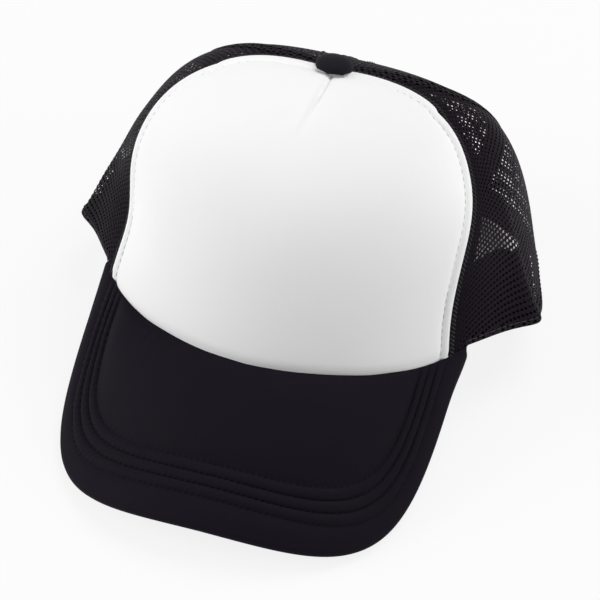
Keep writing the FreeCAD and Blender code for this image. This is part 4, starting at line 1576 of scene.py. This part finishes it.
class CAP_OT_sweatband(bpy.types.Operator):
    """Makes the sweatband: a strip of foam under a sewn cloth that swells over it"""
    bl_idname = "cap.sweatband"
    bl_label = "Sweatband"

    ACROSS = 281
    UPWARD = 21

    def execute(self, context):
        crown = Visor().crown
        s = sizes("band")
        end, _ = crown.rear_angle_height(s.end_half, 0.0)
        span = crown.arc(end, 0.0)
        padding = self.layer(crown, s, "sweatband_padding", span, s.outer, s.padding, 0.0)
        dress(padding, band_cloth(), "padding", "sweatband_padding")
        inside = s.outer - s.padding - 0.0002
        cover = self.layer(crown, s, "sweatband_cover", span, inside, s.cover, s.swell)
        dress(cover, band_cloth(), "sweatband", "sweatband_cover")
        rows = []
        for up in (0.06, 0.93):
            row = []
            for k in range(400):
                arc = span * (2.0 * k / 399.0 - 1.0)
                row.append(self.spot(crown, s, arc, up, inside - s.cover - 0.0001))
            rows.append([(p, -n) for p, n in row])
        sew("sweatband_stitches", rows, black_thread(), "black_thread")
        return {"FINISHED"}

    def spot(self, crown, s, arc, up, lift):
        phi = crown.angle_at(abs(arc), 0.0)
        low = crown.rim_level(phi)
        sag = ease((phi - s.sag_start) / s.sag_span)
        top = s.height + (s.side_height - s.height) * sag
        h = up * (top - low) / (crown.s.height - low)
        return side_point(crown, phi, max(h, 0.0005), lift, math.copysign(1.0, arc))

    def layer(self, crown, s, name, span, outer, thick, rises):
        def place(i, j):
            arc = span * (2.0 * i / (self.ACROSS - 1.0) - 1.0)
            up = j / (self.UPWARD - 1.0)
            full = math.sin(math.pi * min(1.0, max(0.0, (up - 0.06) / 0.87))) ** 0.5
            crease = 0.3 * noise.noise(Vector((arc * 60.0, up * 2.0, 3.0)))
            return self.spot(crown, s, arc, up, outer - rises * full * (1.0 + crease))[0]

        def held(i, j):
            return j < 2 or j > self.UPWARD - 3 or i in (0, self.ACROSS - 1)

        piece = lattice(name, self.ACROSS, self.UPWARD, place, held if rises else None)
        face_out(piece)
        piece.data.flip_normals()
        if rises:
            swell(piece, 0.0005)
        thicken(piece, thick, 1.0)
        tidy(piece)
        smooth(piece)
        return piece


class CAP_OT_visor(bpy.types.Operator):
    """Makes the quilted visor cloth with its rows of stitches, and the cloth under it"""
    bl_idname = "cap.visor"
    bl_label = "Visor"

    ACROSS = 401

    def execute(self, context):
        visor = Visor()
        self.top(visor)
        self.under(visor)
        self.board()
        self.stitches(visor)
        return {"FINISHED"}

    def depths(self, visor):
        """How far inside the edge each grid row lies: dense at the edge and beside each stitch row."""
        rows = visor.rows()
        found = [visor.s.thickness * 0.5]
        found += [rows[0] * k / 9.0 for k in (3, 4, 5, 6, 7, 8, 8.5)]
        for row in rows[:-1]:
            found += [row + visor.s.row_pitch * k for k in (0.0, 0.12, 0.26, 0.5, 0.74, 0.88)]
        found += [rows[-1] + 0.058 * (k / 22.0) ** 1.4 for k in range(23)]
        return sorted(found)

    def top(self, visor):
        half = visor.s.thickness * 0.5
        depths = self.depths(visor)
        roll = [math.radians(a) for a in (180, 160, 140, 120, 100, 80, 60, 40, 20)]
        sides = [2.0 * i / (self.ACROSS - 1.0) - 1.0 for i in range(self.ACROSS)]
        spans, shares = [], []
        for side in sides:
            spans.append(math.dist(visor.at(side, 0.0), visor.at(side, 1.0)))
            shares.append([visor.fraction(side, d) for d in depths])
        gone = self.gone(visor, sides, shares, len(depths))
        rows = visor.rows()

        def place(i, j):
            side, full = sides[i], spans[i]
            edge = min(1.0, half / max(full, 0.0001))
            if j < len(roll):
                x0, y0 = visor.at(side, edge)
                x1, y1 = visor.at(side, 0.0)
                out = math.sin(roll[j])
                x, y = x0 + (x1 - x0) * out, y0 + (y1 - y0) * out
                return visor.place(x, y, half - half * math.cos(roll[j]), full * (1.0 - edge * (1.0 - out)))
            j -= len(roll)
            share = max(shares[i][j], edge)
            x, y = visor.at(side, share)
            to_seam = full * (1.0 - share)
            ripple = noise.noise(Vector((x * 70.0, y * 70.0, 0.0))) * 0.00025
            swell = 0.0
            if shares[i][j] < 1.0:
                swell = visor.puff(depths[j], to_seam) * self.narrow(shares[i], depths, j, full)
                near = min(abs(depths[j] - row) for row in rows)
                wave = 0.5 - 0.5 * math.cos(2.0 * math.pi * gone[j][i] / visor.s.stitch)
                wave *= 1.0 + 0.9 * noise.noise(Vector((gone[j][i] * 130.0, depths[j] * 260.0, 5.0)))
                swell += visor.s.pucker * wave * math.exp(-near / 0.0013) * ease(to_seam / 0.004)
            blend = ease((share * full - half) / 0.004)
            return visor.place(x, y, -(swell + ripple) * blend, to_seam)

        def held(i, j):
            j -= len(roll)
            if j < 1 or shares[i][j] > 0.985:
                return True
            stitched = math.cos(2.0 * math.pi * gone[j][i] / visor.s.stitch) > 0.45
            return stitched and min(abs(depths[j] - row) for row in rows) < 0.00001

        piece = lattice("visor_top_cover", self.ACROSS, len(roll) + len(depths), place, held)
        tidy(piece)
        middle = seat(visor.place(0.0, -0.11, 0.003, 0.03))
        votes = sum((p.center - middle).dot(p.normal) * p.area for p in piece.data.polygons)
        if votes < 0.0:
            piece.data.flip_normals()
        swell(piece, 0.0007)
        thicken(piece, 0.0011)
        smooth(piece, 60.0)
        dress(piece, visor_cloth(), "visor_cloth", "visor_top_cover")

    def narrow(self, share, depths, j, full):
        """How close the rows lie here, as a share of their distance in front."""
        a, b = max(j - 2, 0), min(j + 2, len(depths) - 1)
        return min(1.0, 0.15 + (share[b] - share[a]) * full / (depths[b] - depths[a]))

    def gone(self, visor, sides, shares, count):
        """Length along each row of cloth, from one tip to every point of it."""
        found = []
        for j in range(count):
            spots = [visor.at(side, share[j]) for side, share in zip(sides, shares)]
            lengths = [0.0]
            for a, b in zip(spots[:-1], spots[1:]):
                lengths.append(lengths[-1] + math.dist(a, b))
            found.append(lengths)
        return found

    def under(self, visor):
        inset = 0.0032
        across = 221

        def place(i, j):
            side = (2.0 * i / (across - 1.0) - 1.0) * 0.985
            full = math.dist(visor.at(side, 0.0), visor.at(side, 1.0))
            start = min(0.9, inset / max(full, 0.0001))
            share = start + (1.0 - start) * j / 40.0
            x, y = visor.at(side, share)
            depth = visor.inward(x, y)
            to_seam = full * (1.0 - share)
            swell = 0.35 * visor.puff(depth, to_seam) * ease((share - start) * full / 0.003)
            return visor.place(x, y, visor.s.thickness - 0.0006 + min(swell, 0.0006), to_seam)

        piece = lattice("visor_under_cover", across, 41, place)
        tidy(piece)
        up = seat(Vector((0.0, -visor.s.pitch, 1.0)))
        if sum(p.normal.dot(up) * p.area for p in piece.data.polygons) > 0.0:
            piece.data.flip_normals()
        thicken(piece, 0.0007)
        smooth(piece, 60.0)
        dress(piece, visor_cloth(), "visor_cloth", "visor_under_cover")

    def board(self):
        board = frame["nodes"]["visor_board"]
        board.data.materials.clear()
        board.data.materials.append(solid("Visor_board", (0.7, 0.7, 0.68), 0.6))

    def stitches(self, visor):
        rows = []
        for depth in visor.rows():
            for under in (False, True):
                rows.append(self.row(visor, depth, under))
        rows.append(self.edge_row(visor))
        scale = (visor.s.stitch - sizes("stitch").gap) / sizes("stitch").stitch
        sew("visor_stitches", rows, visor_thread(), "black_thread", step=visor.s.stitch, scale=scale)

    def row(self, visor, depth, under):
        path = []
        for k in range(301):
            side = 2.0 * k / 300.0 - 1.0
            share = visor.fraction(side, depth)
            if share >= 0.995:
                continue
            x, y = visor.at(side, share)
            away = math.dist((x, y), visor.at(side, 1.0))
            normal = visor.up(x)
            down = visor.s.thickness + 0.0002 if under else 0.0
            path.append((visor.place(x, y, down, away), -normal if under else normal))
        return path

    def edge_row(self, visor):
        """The row just inside the edge underneath, which holds the top cloth's turned edge."""
        path = []
        for k in range(301):
            side = (2.0 * k / 300.0 - 1.0) * 0.96
            full = math.dist(visor.at(side, 0.0), visor.at(side, 1.0))
            share = min(0.9, 0.0045 / max(full, 0.0001))
            x, y = visor.at(side, share)
            path.append((visor.place(x, y, visor.s.thickness + 0.0002, full * (1.0 - share)), -visor.up(x)))
        return path


# From the outside of the button's cloth to its shell.
BUTTON_CLOTH = 0.0011


class CAP_OT_button(bpy.types.Operator):
    """Makes the cloth-covered button and finishes its shell, rivet and washer"""
    bl_idname = "cap.button"
    bl_label = "Button"

    def execute(self, context):
        s = sizes("button")
        crown = sizes("crown")
        clear_selection()
        bpy.ops.mesh.primitive_uv_sphere_add(segments=64, ring_count=32, radius=1.0)
        piece = named("button_cover")
        base = crown.height + s.lift
        for vertex in piece.data.vertices:
            x, y, z = vertex.co
            turn = math.atan2(y, x)
            spread = math.hypot(x, y)
            gather = 1.0 - 2.0 * abs(math.sin(0.5 * s.pleats * (turn - s.turn))) ** 0.8
            lower = ease((0.35 - z) / 0.6)
            spread *= 1.0 + s.pleat * gather * lower
            rise = math.copysign(abs(z) ** 0.8, z)
            up = rise * s.height if z > 0.0 else rise * s.skirt * (1.0 + 0.6 * gather * lower)
            across, along = math.cos(turn) * spread, s.depth * math.sin(turn) * spread
            spot = Vector((across, along, up / s.radius)) * s.radius
            foot = Vector((0.0, crown.setback + s.back, base))
            vertex.co = seat(Matrix.Rotation(-s.tip, 3, "X") @ spot + foot)
        lay_round_uv(piece)
        smooth(piece, 60.0)
        dress(piece, button_cloth(), "button_cloth", "button_cover")
        metal = solid("Button_shell", sizes("colour").metal, 0.35, metallic=1.0)
        self.core(s, crown, base, metal)
        for name in ("button_washer", "button_rivet"):
            node = frame["nodes"][name]
            node.data.materials.clear()
            node.data.materials.append(metal)
        return {"FINISHED"}

    def core(self, s, crown, base, metal):
        """The metal shell that the cloth is wrapped round."""
        clear_selection()
        bpy.ops.mesh.primitive_uv_sphere_add(segments=48, ring_count=24, radius=1.0)
        piece = named("button_core")
        radius, height = s.radius - BUTTON_CLOTH, s.height - BUTTON_CLOTH
        for vertex in piece.data.vertices:
            x, y, z = vertex.co
            up = max(0.0, z) * height + 0.0002
            vertex.co = seat(Vector((x * radius, crown.setback + s.back + s.depth * y * radius, base + up)))
        tidy(piece)
        smooth(piece, 50.0)
        dress(piece, metal, "button_shell", "button_core")


def lay_round_uv(piece):
    """UVs in metres, as seen from above."""
    layer = piece.data.uv_layers.active
    for loop in piece.data.loops:
        co = piece.data.vertices[loop.vertex_index].co
        layer.data[loop.index].uv = (co.x, co.y)


class CAP_OT_straps(bpy.types.Operator):
    """Finishes the snap straps and their sewn roots"""
    bl_idname = "cap.straps"
    bl_label = "Snap straps"

    def execute(self, context):
        plastic = solid("Strap_plastic", sizes("colour").plastic, 0.42, grain=2500.0, bump=0.06)
        for joint in frame["joints"]:
            name = joint["child"]
            self.eased(name, plastic, name)
            self.eased(name + "_root", plastic, "root")
            self.web(name, Vector(joint["pos_m"]), plastic)
        return {"FINISHED"}

    def eased(self, name, plastic, body):
        """A moulded strap, or its root, with its edges rounded over."""
        activate(frame["nodes"][name])
        bpy.ops.object.duplicate()
        piece = named(name)
        bpy.ops.object.parent_clear(type="CLEAR_KEEP_TRANSFORM")
        bpy.ops.object.transform_apply(location=True, rotation=True, scale=True)
        for key in list(piece.keys()):
            del piece[key]
        bpy.ops.object.mode_set(mode="EDIT")
        bpy.ops.mesh.select_all(action="SELECT")
        bpy.ops.mesh.remove_doubles(threshold=0.000002)
        bpy.ops.mesh.dissolve_limited(angle_limit=0.01)
        bpy.ops.object.mode_set(mode="OBJECT")
        modifier(piece, "BEVEL", width=0.00035, segments=3, limit_method="ANGLE", angle_limit=0.9)
        smooth(piece, 35.0)
        dress(piece, plastic, "strap", name, body=body)

    def web(self, name, hinge, plastic):
        """The thin web that joins a strap to its root. It ends at the axis, inside the round knuckle."""
        low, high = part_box(name + "_root")
        inside = high.x - 0.001 if hinge.x < 0.0 else low.x + 0.001
        clear_selection()
        bpy.ops.mesh.primitive_cube_add(size=2.0)
        piece = named(name + "_web")
        for vertex in piece.data.vertices:
            x, y, z = vertex.co
            vertex.co = (hinge.x if x > 0.0 else inside, hinge.y + 0.0003 * y,
                         0.5 * (low.z + high.z) + (0.5 * (high.z - low.z) - 0.0008) * z)
        face_out(piece)
        dress(piece, plastic, "strap")


class CAP_OT_settle(bpy.types.Operator):
    """Lets the soft crown settle out of true: all its pieces follow one cage"""
    bl_idname = "cap.settle"
    bl_label = "Settle"

    CELL = 0.009

    def execute(self, context):
        crown = Visor().crown
        s = sizes("settle")
        dents = []
        for angle_, height, depth, spread in (
                (s.left_angle, s.left_height, s.left_dent, s.left_spread),
                (s.right_angle, s.right_height, s.right_dent, s.right_spread),
                (s.top_angle, s.top_height, s.top_dent, s.top_spread),
                (s.back_angle, s.back_height, s.back_dent, s.back_spread),
                (s.ear_angle, s.ear_height, s.ear_dent, s.ear_spread)):
            side = math.copysign(1.0, angle_)
            spot, normal = side_point(crown, abs(angle_), height, 0.0, side)
            dents.append((seat(spot), seat(normal) * -depth, spread))
        dents.append((seat(crown.point(0.0, 0.99)), Vector((s.shift, 0.0, 0.0)), s.shift_spread))
        cage = self.cage(dents)
        nodes = set(frame["nodes"].values())
        for piece in [o for o in context.scene.objects if o.type == "MESH" and o not in nodes]:
            modifier(piece, "LATTICE", object=cage)
        bpy.data.objects.remove(cage)
        return {"FINISHED"}

    def cage(self, dents):
        low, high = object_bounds()
        size = high - low + Vector((0.03, 0.03, 0.03))
        clear_selection()
        bpy.ops.object.add(type="LATTICE", location=0.5 * (low + high))
        cage = bpy.context.object
        cage.scale = size
        counts = [math.ceil(v / self.CELL) + 1 for v in size]
        cage.data.points_u, cage.data.points_v, cage.data.points_w = counts
        bpy.context.view_layer.update()
        for point in cage.data.points:
            spot = cage.matrix_world @ point.co
            shift = Vector()
            for middle, push, spread in dents:
                shift += push * math.exp(-((spot - middle).length / spread) ** 2)
            point.co_deform = [point.co[k] + shift[k] / size[k] for k in range(3)]
        return cage


# The floor glows outside the cap's footprint and is plain inside it, where the shadow lies. The footprint's
# half width grows from its first to its second value over the given stretch towards the back.
SHADOW_WIDENS = (0.005, 0.05)
SHADOW_HALF_WIDTHS = (0.046, 0.088)
SHADOW_HALF_LENGTH = 0.092
SHADOW_EDGE = (0.75, 1.2)
FLOOR_GLOW = 0.84
WORLD_LIGHT = 0.24


class CAP_OT_stage(bpy.types.Operator):
    """Sets the floor, the lights, the white surroundings and the camera"""
    bl_idname = "cap.stage"
    bl_label = "Stage"

    def execute(self, context):
        s = sizes("stage")
        self.floor()
        self.world(context.scene)
        self.lights()
        self.camera(context.scene, s)
        context.scene.view_settings.view_transform = "Standard"
        return {"FINISHED"}

    def floor(self):
        clear_selection()
        bpy.ops.mesh.primitive_plane_add(size=6.0, location=(0.0, 0.0, FLOOR))
        floor = named("floor")
        material, t, surface = shader("Floor_white")
        surface.inputs["Base Color"].default_value = (0.86, 0.86, 0.86, 1.0)
        surface.inputs["Roughness"].default_value = 1.0
        surface.inputs["Specular IOR Level"].default_value = 0.0
        glow = t.add("ShaderNodeEmission", {"Strength": 1.0})
        path = t.add("ShaderNodeLightPath")
        seen = t.math("MAXIMUM", path.outputs["Is Camera Ray"], path.outputs["Is Glossy Ray"])
        seen = t.math("MAXIMUM", seen, path.outputs["Is Transmission Ray"])
        split = t.add("ShaderNodeSeparateXYZ", {0: t.add("ShaderNodeTexCoord").outputs["Object"]})
        widens = {"Value": split.outputs[1],
                  "From Min": SHADOW_WIDENS[0], "From Max": SHADOW_WIDENS[1],
                  "To Min": SHADOW_HALF_WIDTHS[0], "To Max": SHADOW_HALF_WIDTHS[1]}
        half = t.add("ShaderNodeMapRange", widens, interpolation_type="SMOOTHSTEP")
        across = t.math("ABSOLUTE", t.math("DIVIDE", split.outputs[0], half.outputs[0]))
        along = t.math("ABSOLUTE", t.math("DIVIDE", split.outputs[1], SHADOW_HALF_LENGTH))
        both = t.math("ADD", t.math("POWER", across, 3.0), t.math("POWER", along, 3.0))
        edge = {"Value": both, "From Min": SHADOW_EDGE[0], "From Max": SHADOW_EDGE[1],
                "To Min": 0.0, "To Max": FLOOR_GLOW}
        covered = t.add("ShaderNodeMapRange", edge, interpolation_type="SMOOTHSTEP")
        share = t.math("MULTIPLY", seen, covered.outputs[0])
        mixed = t.add("ShaderNodeMixShader", {0: share, 1: surface.outputs[0], 2: glow.outputs[0]})
        below = t.add("ShaderNodeNewGeometry").outputs["Backfacing"]
        clear = t.add("ShaderNodeBsdfTransparent")
        mixed = t.add("ShaderNodeMixShader", {0: below, 1: mixed.outputs[0], 2: clear.outputs[0]})
        end = material.node_tree.nodes["Material Output"]
        t.tree.links.new(mixed.outputs[0], end.inputs["Surface"])
        floor.data.materials.append(material)
        floor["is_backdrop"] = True

    def world(self, scene):
        world = bpy.data.worlds.new("Surroundings")
        scene.world = world
        world.use_nodes = True
        t = Tree(world.node_tree)
        back = world.node_tree.nodes["Background"]
        back.inputs["Color"].default_value = (1.0, 1.0, 1.0, 1.0)
        path = t.add("ShaderNodeLightPath")
        levels = {"Value": path.outputs["Is Camera Ray"], "To Min": WORLD_LIGHT, "To Max": 1.0}
        strength = t.add("ShaderNodeMapRange", levels)
        t.tree.links.new(strength.outputs[0], back.inputs["Strength"])

    def lights(self):
        lamps = (("left", (-1.363, -0.496, 0.676), 0.9, 15.5), ("right", (1.45, 0.0, 0.676), 0.9, 7.5),
                 ("back", (0.424, 0.734, 1.357), 0.9, 12.2), ("front", (0.424, -0.734, 1.357), 0.9, 1.4))
        for name, place, size, watts in lamps:
            clear_selection()
            bpy.ops.object.light_add(type="AREA", location=place)
            lamp = bpy.context.object
            lamp.name = name
            lamp.data.size = size
            lamp.data.energy = watts
            lamp.rotation_mode = "QUATERNION"
            lamp.rotation_quaternion = (-Vector(place)).to_track_quat("-Z", "Y")

    def camera(self, scene, s):
        back = Vector((math.sin(s.azimuth) * math.cos(s.elevation),
                       -math.cos(s.azimuth) * math.cos(s.elevation), math.sin(s.elevation)))
        right = Vector((math.cos(s.azimuth), math.sin(s.azimuth), 0.0))
        up = back.cross(right)
        rolled_right = right * math.cos(s.roll) + up * math.sin(s.roll)
        rolled_up = up * math.cos(s.roll) - right * math.sin(s.roll)
        clear_selection()
        bpy.ops.object.camera_add()
        camera = bpy.context.object
        camera.name = "camera"
        turn = Matrix((rolled_right, rolled_up, back)).transposed()
        camera.matrix_world = Matrix.Translation(Vector(s.aim) + back * s.distance) @ turn.to_4x4()
        camera.data.lens = s.lens
        camera.data.sensor_width = 36.0
        camera.data.clip_end = 20.0
        scene.camera = camera


OPERATORS = (CAP_OT_front_panel, CAP_OT_net_panels, CAP_OT_seams, CAP_OT_rear_opening, CAP_OT_sweatband,
             CAP_OT_visor, CAP_OT_button, CAP_OT_settle, CAP_OT_straps, CAP_OT_stage)


class CAP_PT_panel(bpy.types.Panel):
    """Lists the steps that dress the cap"""
    bl_idname = "CAP_PT_panel"
    bl_label = "Mesh Cap"
    bl_space_type = "VIEW_3D"
    bl_region_type = "UI"
    bl_category = "Cap"

    def draw(self, context):
        for operator in OPERATORS:
            self.layout.operator(operator.bl_idname)
        for name, group in GROUPS.items():
            box = self.layout.box()
            box.label(text=group.__name__)
            for key in group.__annotations__:
                box.prop(getattr(context.scene, name), key)


def register():
    for name, group in GROUPS.items():
        bpy.utils.register_class(group)
        setattr(bpy.types.Scene, name, PointerProperty(type=group))
    for operator in OPERATORS:
        bpy.utils.register_class(operator)
    bpy.utils.register_class(CAP_PT_panel)


def unregister():
    bpy.utils.unregister_class(CAP_PT_panel)
    for operator in reversed(OPERATORS):
        bpy.utils.unregister_class(operator)
    for name, group in reversed(GROUPS.items()):
        delattr(bpy.types.Scene, name)
        bpy.utils.unregister_class(group)


def main():
    register()
    for operator in OPERATORS:
        step = operator.bl_idname.split(".")[1]
        getattr(bpy.ops.cap, step)()
    clear_selection()


if __name__ == "__main__":
    main()
